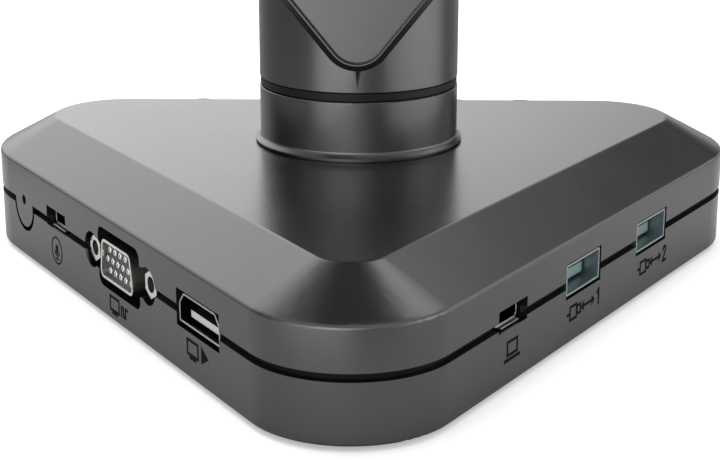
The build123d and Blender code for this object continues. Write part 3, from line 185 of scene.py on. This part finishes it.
mirrored = add(tree, "ShaderNodeMath", {
    0: path.outputs["Is Glossy Ray"], 1: path.outputs["Is Transmission Ray"]}, operation="MAXIMUM")
seen = add(tree, "ShaderNodeMix", {0: mirrored.outputs[0], 3: painted_mirror_level.outputs[0]}, data_type="FLOAT", in2=0.86)
shade = add(tree, "ShaderNodeMath", {0: seen.outputs[0]}, operation="MINIMUM", in1=0.95)
lit = add(tree, "ShaderNodeBsdfDiffuse", {"Normal": raised.outputs[0], "Color": shade.outputs[0]})
# glossy rays see a glow where the painted level passes 0.75: painted reflection of light
above = add(tree, "ShaderNodeMath", {0: seen.outputs[0]}, operation="SUBTRACT", in1=0.75)
painted_mirror_glow = add(tree, "ShaderNodeMath", {0: above.outputs[0], 1: mirrored.outputs[0]}, operation="MULTIPLY")
eye_glow = add(tree, "ShaderNodeMath", {0: path.outputs["Is Camera Ray"], 2: painted_mirror_glow.outputs[0]},
               operation="MULTIPLY_ADD", in1=0.36)
glow_level = add(tree, "ShaderNodeMath", {0: eye_glow.outputs[0]}, operation="MAXIMUM", in1=0.0)
white = add(tree, "ShaderNodeEmission", {"Strength": glow_level.outputs[0]}, Color=linear("#ffffff"))
both = add(tree, "ShaderNodeAddShader", {0: lit.outputs[0], 1: white.outputs[0]})
add(tree, "ShaderNodeOutputMaterial", {"Surface": both.outputs[0]})
sheet.materials.append(paper)

# ---------------------------------------------------------------- upper casing of the base
# Injection-moulded ABS, sprayed outside in a satin graphite lacquer with fine metal flake.
# Inside, and on the walls of the openings, it is bare black plastic, made near-black and dull so that it also
# stands as painted shade. Three screws from below hold it to the lower casing.


def principled(name, **settings):
    """A new material with one Principled shader; returns the material, its tree and the shader."""
    material = bpy.data.materials.new(name)
    material.use_nodes = True
    tree = material.node_tree
    tree.nodes.clear()
    shader = add(tree, "ShaderNodeBsdfPrincipled", **settings)
    add(tree, "ShaderNodeOutputMaterial", {"Surface": shader.outputs[0]})
    return material, tree, shader


def graphite_lacquer(name, hex_low, hex_high, roughness):
    """Satin lacquer with metal flake about 0.1 mm across and the slow waviness of a sprayed coat."""
    material, tree, shader = principled(name, Metallic=1.0, Roughness=roughness)
    place = add(tree, "ShaderNodeTexCoord")
    # flake is drawn 0.35 mm apart, so that it shows
    flake = add(tree, "ShaderNodeTexNoise", {"Vector": place.outputs["Object"]}, Scale=1 / (0.35 * MM),
                Detail=2.0, Roughness=0.6)
    cloud = add(tree, "ShaderNodeTexNoise", {"Vector": place.outputs["Object"]}, Scale=1 / (22 * MM),
                Detail=3.0)
    shade = add(tree, "ShaderNodeMix", {"Factor": cloud.outputs["Fac"]}, data_type="RGBA")
    shade.inputs[6].default_value = linear(hex_low)
    shade.inputs[7].default_value = linear(hex_high)
    tree.links.new(shade.outputs[2], shader.inputs["Base Color"])
    patchy = add(tree, "ShaderNodeMapRange", {"Value": cloud.outputs["Fac"]}, To_Min=roughness - 0.03,
                 To_Max=roughness + 0.03)
    tree.links.new(patchy.outputs[0], shader.inputs["Roughness"])
    peel = add(tree, "ShaderNodeTexNoise", {"Vector": place.outputs["Object"]}, Scale=1 / (1.4 * MM),
               Detail=1.0)
    grain = add(tree, "ShaderNodeBump", {"Height": flake.outputs["Fac"]}, Strength=0.16, Distance=0.00002)
    coat = add(tree, "ShaderNodeBump", {"Height": peel.outputs["Fac"], "Normal": grain.outputs[0]},
               Strength=0.08, Distance=0.00005)
    tree.links.new(coat.outputs[0], shader.inputs["Normal"])
    return material


def moulded_plastic(name, hex_colour, roughness, texture_mm, specular=0.5):
    """Moulded plastic: a plain colour with the fine spark texture of its mould."""
    material, tree, shader = principled(name, Roughness=roughness, IOR=1.5, Specular_IOR_Level=specular)
    place = add(tree, "ShaderNodeTexCoord")
    spark = add(tree, "ShaderNodeTexNoise", {"Vector": place.outputs["Object"]}, Scale=1 / (texture_mm * MM),
                Detail=3.0)
    colour = linear(hex_colour)
    shade = add(tree, "ShaderNodeMix", {"Factor": spark.outputs["Fac"]}, data_type="RGBA")
    shade.inputs[6].default_value = [c * 0.86 for c in colour[:3]] + [1.0]
    shade.inputs[7].default_value = [min(c * 1.14, 1) for c in colour[:3]] + [1.0]
    tree.links.new(shade.outputs[2], shader.inputs["Base Color"])
    relief = add(tree, "ShaderNodeBump", {"Height": spark.outputs["Fac"]}, Strength=0.2, Distance=0.00004)
    tree.links.new(relief.outputs[0], shader.inputs["Normal"])
    return material


def welded(node):
    """A copy of one CAD node's mesh with its triangles joined and its flats made single faces."""
    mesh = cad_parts[node].data.copy()
    for layer in [a.name for a in mesh.attributes if a.name == "custom_normal"]:
        mesh.attributes.remove(mesh.attributes[layer])
    shape = bmesh.new()
    shape.from_mesh(mesh)
    bmesh.ops.remove_doubles(shape, verts=shape.verts, dist=1e-6)
    bmesh.ops.dissolve_limit(shape, angle_limit=math.radians(0.03), verts=shape.verts, edges=shape.edges)
    shape.to_mesh(mesh)
    shape.free()
    return mesh


SHARP_FROM = math.radians(32)


def finished(name, mesh, body, materials, replaced, soften=0.0):
    """Makes a piece of a mesh: edges softened, normals weighted, then handed to its body."""
    mesh.name = name
    mesh.materials.clear()
    for material in materials:
        mesh.materials.append(material)
    obj = bpy.data.objects.new(name, mesh)
    scene.collection.objects.link(obj)
    mesh.shade_smooth()
    mesh.set_sharp_from_angle(angle=SHARP_FROM)
    if soften:
        edge = obj.modifiers.new("soft_edges", "BEVEL")
        edge.width = soften * MM
        edge.segments = 2
        edge.limit_method = "ANGLE"
        edge.angle_limit = SHARP_FROM
        edge.use_clamp_overlap = True
    even = obj.modifiers.new("even_normals", "WEIGHTED_NORMAL")
    even.keep_sharp = True
    baked = bpy.data.meshes.new_from_object(obj.evaluated_get(bpy.context.evaluated_depsgraph_get()))
    obj.modifiers.clear()
    obj.data = baked
    baked.name = name
    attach(obj, body)
    if replaced:
        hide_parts(*replaced)
    return obj


def bare_and_shaded_inside(mesh, index, above=None):
    """Gives the walls of openings and inner faces, which look at the mesh itself, another material; these
    faces lie in shade, and a darker material there is painted shade.
    """
    look = BVHTree.FromPolygons([v.co for v in mesh.vertices], [p.vertices for p in mesh.polygons])
    for face in mesh.polygons:
        start = face.center + face.normal * 0.02 * MM
        hit = look.ray_cast(start, face.normal, 0.4)[0]
        if hit is not None or (above is not None and face.center.z > above):
            face.material_index = index


lacquer = graphite_lacquer("graphite_lacquer", "#545454", "#5e5e5e", 0.27)
# near-black dull plastic for inner faces and opening walls: bare plastic, and painted shade in those hollows
bare_abs_and_painted_shade = moulded_plastic("bare_black_abs", "#050506", 0.7, 0.5, specular=0.2)

top_cover = finished("top_cover", welded("base_top_cover"), "base", [lacquer, bare_abs_and_painted_shade],
                     ["base_top_cover"])
bare_and_shaded_inside(top_cover.data, 1)

# ---------------------------------------------------------------- lower casing of the base
# The same moulded ABS and lacquer. A thin lip stands up inside the seam, in the near-black bare
# plastic, and shows as its dark line: partly painted shade.
SEAM_LOW = 11.25 * MM
bottom_cover = finished("bottom_cover", welded("base_bottom_cover"), "base",
                        [lacquer, bare_abs_and_painted_shade], ["base_bottom_cover"])
bare_and_shaded_inside(bottom_cover.data, 1, above=SEAM_LOW - 0.05 * MM)

# ---------------------------------------------------------------- collar, swivel ring and post
# The collar is screwed to the base from inside; the dark ring is the joint, and the post turns
# on it. Collar and post wear the base's lacquer; the ring is black acetal.
finished("collar", welded("collar"), "base", [lacquer], ["collar"])
ring_black = moulded_plastic("black_acetal", "#0c0c0d", 0.45, 0.4, specular=0.22)
finished("swivel_ring", welded("swivel_ring"), "base", [ring_black], ["swivel_ring"])
finished("post_shell", welded("post_shell"), "post", [lacquer], ["post_shell"])

panel_lacquer = graphite_lacquer("panel_lacquer", "#5a5a5a", "#646464", 0.3)
finished("rear_panel", welded("rear_panel"), "post", [panel_lacquer], ["rear_panel"])

# ---------------------------------------------------------------- analog video socket
# A drawn and nickel-plated D shell with fifteen round contacts in a black moulded block, held
# by two hexagon jack nuts. It sits on the main board and reaches out through the wall.
APEX_HALF = math.radians(31.7)
APEX_TO_COLUMN = 108.7
FOOT = 0.8


def wall_place(side, along, height, depth=0.0):
    """Matrix of a place on a rear wall: x to the right and y up from outside, z outwards."""
    away = Vector((side * math.sin(APEX_HALF), math.cos(APEX_HALF), 0))
    outward = Vector((side * math.cos(APEX_HALF), -math.sin(APEX_HALF), 0))
    spot = Vector((0, -APEX_TO_COLUMN, FOOT + height)) + away * along - outward * depth
    place = Matrix([away * side, (0, 0, 1), outward]).transposed().to_4x4()
    place.translation = spot * MM
    return place


def metal(name, hex_colour, roughness, scratch_mm):
    """Plated or machined metal: one colour, with fine wear that breaks up the gloss."""
    material, tree, shader = principled(name, Metallic=1.0, Base_Color=linear(hex_colour))
    place = add(tree, "ShaderNodeTexCoord")
    wear = add(tree, "ShaderNodeTexNoise", {"Vector": place.outputs["Object"]}, Scale=1 / (scratch_mm * MM),
               Detail=4.0)
    gloss = add(tree, "ShaderNodeMapRange", {"Value": wear.outputs["Fac"]}, To_Min=roughness - 0.06,
                To_Max=roughness + 0.08)
    tree.links.new(gloss.outputs[0], shader.inputs["Roughness"])
    relief = add(tree, "ShaderNodeBump", {"Height": wear.outputs["Fac"]}, Strength=0.12, Distance=0.00003)
    tree.links.new(relief.outputs[0], shader.inputs["Normal"])
    return material


def turned(profile, steps=24):
    """Mesh turned about Z from (radius, height) pairs in mm; a third value makes a ring a hexagon."""
    shape = bmesh.new()
    rings = []
    for radius, height, *sides in profile:
        ring = []
        for step in range(steps if radius else 1):
            angle = 2 * math.pi * step / steps
            reach = radius
            if sides:
                reach *= math.cos(math.pi / 6) / math.cos((angle % (math.pi / 3)) - math.pi / 6)
            corner = Vector((reach * math.cos(angle), reach * math.sin(angle), height))
            ring.append(shape.verts.new(corner * MM))
        rings.append(ring)
    for low, high in zip(rings, rings[1:]):
        for step in range(steps):
            corners = [low[step % len(low)], low[(step + 1) % len(low)], high[(step + 1) % len(high)],
                       high[step % len(high)]]
            shape.faces.new(list(dict.fromkeys(corners)))
    bmesh.ops.recalc_face_normals(shape, faces=shape.faces)
    mesh = bpy.data.meshes.new("turned")
    shape.to_mesh(mesh)
    shape.free()
    return mesh


def repeated(name, unit_mesh, places, material, body, replaced):
    """Sets a copy of the unit at each place with a Geometry Nodes tree, and hands over the result."""
    unit = bpy.data.objects.new(name + "_unit", unit_mesh)
    points = bpy.data.meshes.new(name)
    points.from_pydata([p.translation for p in places], [], [])
    turns = points.attributes.new("turn", "FLOAT_VECTOR", "POINT")
    for index, place in enumerate(places):
        turns.data[index].vector = place.to_euler()
    carrier = bpy.data.objects.new(name, points)
    scene.collection.objects.link(carrier)
    group = bpy.data.node_groups.new(name, "GeometryNodeTree")
    sockets = {}
    for label, kind in (("Geometry", "NodeSocketGeometry"), ("Unit", "NodeSocketObject"),
                        ("Size", "NodeSocketFloat"), ("Finish", "NodeSocketMaterial")):
        sockets[label] = group.interface.new_socket(label, in_out="INPUT", socket_type=kind).identifier
    group.interface.new_socket("Geometry", in_out="OUTPUT", socket_type="NodeSocketGeometry")
    given = add(group, "NodeGroupInput")
    part = add(group, "GeometryNodeObjectInfo", {"Object": given.outputs["Unit"]})
    turn_read = add(group, "GeometryNodeInputNamedAttribute", data_type="FLOAT_VECTOR", Name="turn")
    turning = add(group, "FunctionNodeEulerToRotation", {0: turn_read.outputs[0]})
    set_out = add(group, "GeometryNodeInstanceOnPoints", {
        "Points": given.outputs["Geometry"], "Instance": part.outputs["Geometry"],
        "Rotation": turning.outputs[0], "Scale": given.outputs["Size"]})
    solid = add(group, "GeometryNodeRealizeInstances", {0: set_out.outputs[0]})
    dressed = add(group, "GeometryNodeSetMaterial", {
        "Geometry": solid.outputs[0], "Material": given.outputs["Finish"]})
    add(group, "NodeGroupOutput", {0: dressed.outputs[0]})
    nodes = carrier.modifiers.new("set_out", "NODES")
    nodes.node_group = group
    nodes[sockets["Unit"]] = unit
    nodes[sockets["Size"]] = 1.0
    nodes[sockets["Finish"]] = material
    mesh = bpy.data.meshes.new_from_object(carrier.evaluated_get(bpy.context.evaluated_depsgraph_get()))
    bpy.data.objects.remove(carrier)
    bpy.data.objects.remove(unit)
    return finished(name, mesh, body, [material], replaced)


nickel = metal("bright_nickel_plate", "#d9d8d4", 0.2, 0.6)
block_pbt = moulded_plastic("charcoal_pbt", "#333436", 0.45, 0.4)
tin = metal("tinned_contact", "#e6e5e0", 0.16, 0.3)
black_block = moulded_plastic("black_pbt", "#08090a", 0.6, 0.4)

finished("analog_video_shell", welded("analog_video_shell"), "base", [nickel],
         ["analog_video_shell"], soften=0.3)
finished("analog_video_block", welded("analog_video_insert"), "base", [block_pbt],
         ["analog_video_insert"])
finished("jack_nuts", welded("analog_video_jack_nuts"), "base", [nickel],
         ["analog_video_jack_nuts"], soften=0.14)
CONTACT_PITCH = 2.29
CONTACT_ROW = 1.98
ANALOG_ALONG = 80.2
contact_places = [wall_place(-1, ANALOG_ALONG, 11.5, depth=0.05) @ Matrix.Translation(
    Vector(((column - 2 + (-0.25 if row == 1 else 0.25)) * CONTACT_PITCH, (row - 1) * CONTACT_ROW, 0)) * MM)
    for row in range(3) for column in range(5)]
contact = turned([(0, -1.5), (0.25, -1.5), (0.25, -0.05), (0.32, 0), (0.5, 0), (0.6, -0.1), (0.6, -5.4),
                  (0, -5.4)], 16)
repeated("analog_video_contacts", contact, contact_places, tin, "base",
         ["analog_video_contacts"])

# ---------------------------------------------------------------- digital video and type-A sockets
# Stamped steel sleeves, soldered to the board above them. Each has a moulded tongue inside,
# with a black block behind it: pale in the digital video socket, grey-green in the other two.


def socket_pieces(shell, tongue, steel, painted_inside, tongue_plastic, front, place, painted_shade_below=-2.0):
    """One kind of socket: sleeves whose inner faces take a second material of painted light, and a black block
    whose first front mm is tongue.

    Only tongue faces that look outwards by more than the given limit take the tongue's plastic; the black of
    the top and sides cut off so is painted shade.
    """
    sleeve = finished(shell, welded(shell), "base", [steel, painted_inside], [shell], soften=0.08)
    bare_and_shaded_inside(sleeve.data, 1)
    insert = finished(tongue, welded(tongue), "base", [black_block, tongue_plastic], [tongue])
    into = place.inverted()
    for face in insert.data.polygons:
        if (into @ face.center).z > -front * MM and (into.to_3x3() @ face.normal).z > painted_shade_below:
            face.material_index = 1


sleeve_steel = metal("sleeve_steel", "#9ea3a4", 0.28, 0.7)
# near-black copy of the sleeve steel for sleeve insides: painted shade
steel_painted_shade = metal("shaded_steel", "#1d1e1f", 0.4, 0.7)
# grey-green tinted copy of the sleeve steel for type-A sleeve insides: painted reflection of their tongues
steel_painted_tongue_reflection = metal("steel_tinted_painted_reflection", "#9aabaf", 0.36, 0.9)
ivory = moulded_plastic("pale_lcp", "#c8c8c3", 0.4, 0.4)
grey_green = moulded_plastic("grey_green_pbt", "#8b9c9b", 0.42, 0.4)
DIGITAL_ALONG = 47.7
# inside the digital video sleeve the near-black steel is painted shade
socket_pieces("digital_video_shell", "digital_video_tongue", sleeve_steel, steel_painted_shade, ivory, 8.7,
              # only the tongue's front takes the pale plastic; its black top and sides are painted shade
              wall_place(-1, DIGITAL_ALONG, 11.6), painted_shade_below=0.5)
# the type-A sleeves take the grey-green tinted steel inside: painted reflection of their tongues
socket_pieces("type_a_shells", "type_a_tongues", sleeve_steel, steel_painted_tongue_reflection, grey_green, 11.0,
              wall_place(1, 76.8, 11.87))

# ---------------------------------------------------------------- audio and computer sockets
# Two small recessed sleeves with a flared lower lip and a black tongue each.
# both sleeves take the near-black steel inside: painted shade
socket_pieces("audio_socket_shell", "audio_socket_tongue", sleeve_steel, steel_painted_shade, black_block, 0,
              wall_place(-1, 110.9, 12.2))
socket_pieces("computer_socket_shell", "computer_socket_tongue", sleeve_steel, steel_painted_shade, black_block, 0,
              wall_place(1, 50.1, 11.8))

# ---------------------------------------------------------------- printed signs beside the sockets
# Plain signs for what plugs in, pad-printed in matt black ink on the lower casing.


def stroke(points, width, closed=False):
    """Four-cornered pieces, in mm, that follow a line of that width."""
    pieces = []
    ends = list(zip(points, points[1:] + points[:1])) if closed else list(zip(points, points[1:]))
    for (x0, y0), (x1, y1) in ends:
        length = math.hypot(x1 - x0, y1 - y0)
        ux, uy = (x1 - x0) / length * width / 2, (y1 - y0) / length * width / 2
        pieces.append([(x0 - ux + uy, y0 - uy - ux), (x1 + ux + uy, y1 + uy - ux),
                       (x1 + ux - uy, y1 + uy + ux), (x0 - ux - uy, y0 - uy + ux)])
    return pieces


def arc(x, y, radius, start=0, end=360, steps=28):
    """Points, in mm, along part of a circle."""
    turns = [math.radians(start + (end - start) * step / steps) for step in range(steps + 1)]
    return [(x + radius * math.cos(t), y + radius * math.sin(t)) for t in turns]


INK_FILM = 0.03


def printed(name, pieces, place, body, ink):
    """A film of ink cut to flat pieces in mm, on a place's x and y; each piece a little prouder."""
    shape = bmesh.new()
    for layer, corners in enumerate(pieces):
        rise = (INK_FILM + 0.0004 * layer) * MM
        top = [shape.verts.new(place @ Vector((x * MM, y * MM, rise))) for x, y in corners]
        foot = [shape.verts.new(place @ Vector((x * MM, y * MM, -0.02 * MM))) for x, y in corners]
        shape.faces.new(top)
        shape.faces.new(foot[::-1])
        for i in range(len(top)):
            j = (i + 1) % len(top)
            shape.faces.new([top[j], top[i], foot[i], foot[j]])
    mesh = bpy.data.meshes.new(name)
    shape.to_mesh(mesh)
    shape.free()
    mesh.materials.append(ink)
    obj = bpy.data.objects.new(name, mesh)
    scene.collection.objects.link(obj)
    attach(obj, body)


ink = moulded_plastic("matt_black_ink", "#060607", 0.8, 0.3, specular=0.1)
LINE = 0.5


def box_line(x, y, width, height):
    """A rectangle's outline as strokes."""
    w, h = width / 2, height / 2
    return stroke([(x - w, y - h), (x + w, y - h), (x + w, y + h), (x - w, y + h)], LINE, closed=True)


screen = box_line(-2.1, 0.35, 4.0, 2.5) + stroke([(-3.1, -1.45), (-1.1, -1.45)], LINE) + stroke(
    [(-2.1, -0.9), (-2.1, -1.4)], LINE)
wave = stroke([(1.0, -0.8), (1.0, 0.9), (1.9, 0.9), (1.9, -0.8), (2.8, -0.8), (2.8, 0.9), (3.7, 0.9)], LINE)
printed("sign_analog_video", screen + wave, wall_place(-1, ANALOG_ALONG + 0.5, 3.05), "base", ink)
arrow = [[(1.2, -1.2), (3.9, 0.35), (1.2, 1.9)]]
printed("sign_digital_video", screen + arrow, wall_place(-1, DIGITAL_ALONG, 5.3), "base", ink)
laptop = box_line(0, 0.65, 3.4, 2.3) + stroke([(-2.5, -1.3), (2.5, -1.3)], 0.6)
printed("sign_computer", laptop, wall_place(1, 50.0, 5.8), "base", ink)
capsule = [arc(0, 0.55, 0.62, 0, 180, 10) + arc(0, -0.1, 0.62, 180, 360, 10)]
holder = stroke(arc(0, 0.05, 1.15, 195, 345, 10), 0.26) + stroke([(0, -1.1), (0, -1.75)], 0.26) + stroke(
    [(-0.6, -1.75), (0.6, -1.75)], 0.26)
printed("sign_audio", stroke(arc(0, 0, 2.65), 0.3) + capsule + holder, wall_place(-1, 111.2, 6.0), "base", ink)
plug = box_line(-4.3, 0, 2.6, 2.4) + box_line(-2.1, 0, 1.4, 1.5) + stroke([(-6.6, 0), (-5.6, 0)], LINE)
two_way = stroke([(0.1, 0), (3.1, 0)], LINE) + [
    [(0.0, -1.0), (0.0, 1.0), (-1.2, 0)], [(3.2, 1.0), (3.2, -1.0), (4.4, 0)]]
one = stroke([(5.5, 0.9), (6.1, 1.4), (6.1, -1.4)], LINE)
two = stroke([(5.3, 0.9), (5.7, 1.4), (6.4, 1.4), (6.7, 0.8), (5.3, -1.4), (6.8, -1.4)], LINE)
printed("sign_type_a_near", plug + two_way + one, wall_place(1, 77.3, 5.5), "base", ink)
printed("sign_type_a_far", plug + two_way + two, wall_place(1, 107.6, 5.5), "base", ink)

# ---------------------------------------------------------------- push buttons on the front slope
# Six round moulded keys with pale printed signs. Each slides in its own hole in the slope, above
# a switch on the key board.
SLOPE = math.atan2(6.3, 11.7)
BUTTON_PITCH = 14.0
BUTTON_PROUD = 0.9
SLOPE_CENTRE = (40.95, 23.15)
FINE = 0.34
key_plastic = moulded_plastic("satin_black_abs", "#1a1b1c", 0.35, 0.5)
pale_ink = moulded_plastic("pale_grey_ink", "#c9cacb", 0.55, 0.3)
SIGNS = {
    "power": stroke(arc(0, 0, 1.5, 125, 415), FINE) + stroke([(0, 0.5), (0, 1.9)], FINE),
    "source": box_line(0, 0, 3.2, 2.2) + [[(-0.6, -0.6), (0.8, 0), (-0.6, 0.6)]],
    "zoom_out": stroke(arc(0, 0, 1.5), FINE) + stroke([(-0.7, 0), (0.7, 0)], FINE),
    "zoom_in": stroke(arc(0, 0, 1.5), FINE) + stroke([(-0.7, 0), (0.7, 0)], FINE) + stroke(
        [(0, -0.7), (0, 0.7)], FINE),
    "focus": [stroke(corner, FINE)[k] for corner in (
        [(-1.6, 0.8), (-1.6, 1.4), (-0.8, 1.4)], [(0.8, 1.4), (1.6, 1.4), (1.6, 0.8)],
        [(1.6, -0.8), (1.6, -1.4), (0.8, -1.4)], [(-0.8, -1.4), (-1.6, -1.4), (-1.6, -0.8)]) for k in (0, 1)
        ] + [arc(0, 0, 0.45, 0, 342, 18)],
    "light": [arc(0, 0, 0.8, 0, 342, 18)] + [piece for t in range(8) for piece in stroke([
        (1.15 * math.cos(t * math.pi / 4), 1.15 * math.sin(t * math.pi / 4)),
        (1.75 * math.cos(t * math.pi / 4), 1.75 * math.sin(t * math.pi / 4))], 0.3)],
}
for index, (key, sign) in enumerate(SIGNS.items()):
    name = "button_" + key
    finished(name, welded(name), "key_" + key, [key_plastic], [name])
    top = Matrix([(-1, 0, 0), (0, -math.cos(SLOPE), math.sin(SLOPE)),
                  (0, math.sin(SLOPE), math.cos(SLOPE))]).transposed().to_4x4()
    top.translation = Vector(((index - 2.5) * BUTTON_PITCH, SLOPE_CENTRE[0] + BUTTON_PROUD * math.sin(SLOPE),
                              SLOPE_CENTRE[1] + BUTTON_PROUD * math.cos(SLOPE))) * MM
    printed("sign_" + key, sign, top, "key_" + key, pale_ink)

# ---------------------------------------------------------------- feet and screws underneath
# Four moulded rubber feet with ribbed soles sit in recesses, and steel pan-head screws close
# the base, the arm and the head from below.
rubber = moulded_plastic("black_rubber", "#151516", 0.8, 0.6)
sole = turned([(0, 0.3), (1.6, 0.3), (1.8, 0), (3.0, 0), (3.2, 0.3), (3.9, 0.3), (4.1, 0), (5.6, 0),
               (6.0, 0.4), (6.0, 1.6), (0, 1.6)], 48)
repeated("rubber_feet", sole, [Matrix.Translation(Vector((x, y, 0)) * MM) for x, y in (
    (-54, 30), (54, 30), (-11, -70), (11, -70))], rubber, "base", ["rubber_feet"])
zinc = metal("zinc_plated_steel", "#9b9c9a", 0.32, 0.5)


def pan_head(head, shank, head_height, length):
    """A pan-head screw that points up, with a hexagon recess in its head."""
    recess = head * 0.45
    return turned([(0, head_height / 2), (recess, head_height / 2, 6), (recess, 0.02, 6), (head * 0.7, 0),
                   (head * 0.93, head_height * 0.25), (head, head_height * 0.6), (head, head_height),
                   (shank, head_height), (shank, head_height + length), (0, head_height + length)], 24)


def raised_places(spots, height):
    """Places for screws that stand upright at one height, in mm."""
    return [Matrix.Translation(Vector((x, y, height)) * MM) for x, y in spots]


repeated("case_screws", pan_head(2.6, 1.15, 1.8, 13.0), raised_places([(-60, 10), (60, 10), (0, -60)], 2.0),
         zinc, "base", ["case_screws"])
repeated("arm_screws", pan_head(2.6, 1.15, 1.7, 13.0), raised_places([(0, 52), (0, 140.5)], 276.0), zinc,
         "arm", ["arm_screws"])
repeated("head_screws", pan_head(2.0, 0.9, 1.6, 15.0),
         raised_places([(-17, 189), (17, 189), (-17, 231), (17, 231)], 273.9), zinc, "head",
         ["head_screws"])

# ---------------------------------------------------------------- elbow and arm
# A cast alloy core runs through the arm, closed by an upper cover and a lower shell in the
# base's lacquer. Black caps cover the ends of the elbow's pin.
cast_alloy = metal("blasted_cast_alloy", "#5a5b5d", 0.5, 0.5)
for node in ("arm_upper_cover", "arm_lower_shell"):
    finished(node, welded(node), "arm", [lacquer], [node], soften=0.15)
finished("arm_core", welded("arm_core"), "arm", [cast_alloy], ["arm_core"], soften=0.2)
finished("elbow_caps", welded("elbow_caps"), "post", [key_plastic], ["elbow_caps"])

# ---------------------------------------------------------------- camera head
# Two moulded shells in the same lacquer round a cast frame. The lens sits in a coned black
# bezel underneath, beside a lamp behind a milky window.
for node in ("head_upper_shell", "head_lower_shell"):
    finished(node, welded(node), "head", [lacquer], [node])
finished("head_frame", welded("head_frame"), "head", [cast_alloy], ["head_frame"], soften=0.2)
finished("lens_bezel", welded("lens_bezel"), "head", [key_plastic], ["lens_bezel"],
         soften=0.1)
finished("lens_barrel", welded("lens_barrel"), "head", [ring_black], ["lens_barrel"])
coated_glass, tree, shader = principled(
    "coated_glass", Base_Color=linear("#dfe6f2"), Roughness=0.02, IOR=1.52, Transmission_Weight=1.0,
    Coat_Weight=0.6, Coat_Roughness=0.03, Coat_IOR=1.7, Coat_Tint=linear("#8f7fd8"))
place = add(tree, "ShaderNodeTexCoord")
haze = add(tree, "ShaderNodeTexNoise", {"Vector": place.outputs["Object"]}, Scale=1 / (3 * MM))
film = add(tree, "ShaderNodeMapRange", {"Value": haze.outputs["Fac"]}, To_Min=0.01, To_Max=0.04)
tree.links.new(film.outputs[0], shader.inputs["Roughness"])
finished("lens_glass", welded("lens_glass"), "head", [coated_glass], ["lens_glass"])
milky = moulded_plastic("milky_acrylic", "#e9e9e4", 0.35, 0.6)
milky.node_tree.nodes["Principled BSDF"].inputs["Subsurface Weight"].default_value = 0.4
finished("light_diffuser", welded("light_diffuser"), "head", [milky], ["light_diffuser"])

# ---------------------------------------------------------------- parts inside
# Circuit boards, ballast, shaft, pins, washers and screws that the casings hide. They keep
# their frame shapes and get their own finishes.


def circuit_board(name, hex_colour):
    """Solder-resist lacquer with the raised pattern of the copper under it, 1 to 2 mm apart."""
    material, tree, shader = principled(name, Roughness=0.35, IOR=1.5)
    place = add(tree, "ShaderNodeTexCoord")
    resist = linear(hex_colour)
    grid = add(tree, "ShaderNodeTexBrick", {"Vector": place.outputs["Object"]}, Scale=1 / (4 * MM),
               Mortar_Size=0.03, Color1=resist, Color2=resist, Mortar=linear("#3c6b4a"))
    tree.links.new(grid.outputs["Color"], shader.inputs["Base Color"])
    raised = add(tree, "ShaderNodeBump", {"Height": grid.outputs["Fac"]}, Strength=0.3, Distance=0.00004)
    tree.links.new(raised.outputs[0], shader.inputs["Normal"])
    return material


board_green = circuit_board("solder_resist", "#1d4a2e")
acetal = moulded_plastic("white_acetal", "#dcdcd6", 0.4, 0.5)
steel = metal("machined_steel", "#8d8e8f", 0.3, 0.4)
INSIDE = {
    board_green: ["main_board", "key_board", "sensor_board", "light_board"],
    acetal: ["swivel_bush", "elbow_washers", "tilt_washers"],
    steel: ["base_weight_plate", "column_plate", "swivel_shaft", "swivel_washer", "swivel_nut", "post_core",
            "elbow_bracket", "elbow_pin", "tilt_pin"],
    zinc: ["inner_screws", "collar_screws", "hub_screws"],
    black_block: ["key_switches", "microphone_capsule"],
}
for material, nodes in INSIDE.items():
    for node in nodes:
        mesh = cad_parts[node].data
        mesh.materials.clear()
        mesh.materials.append(material)
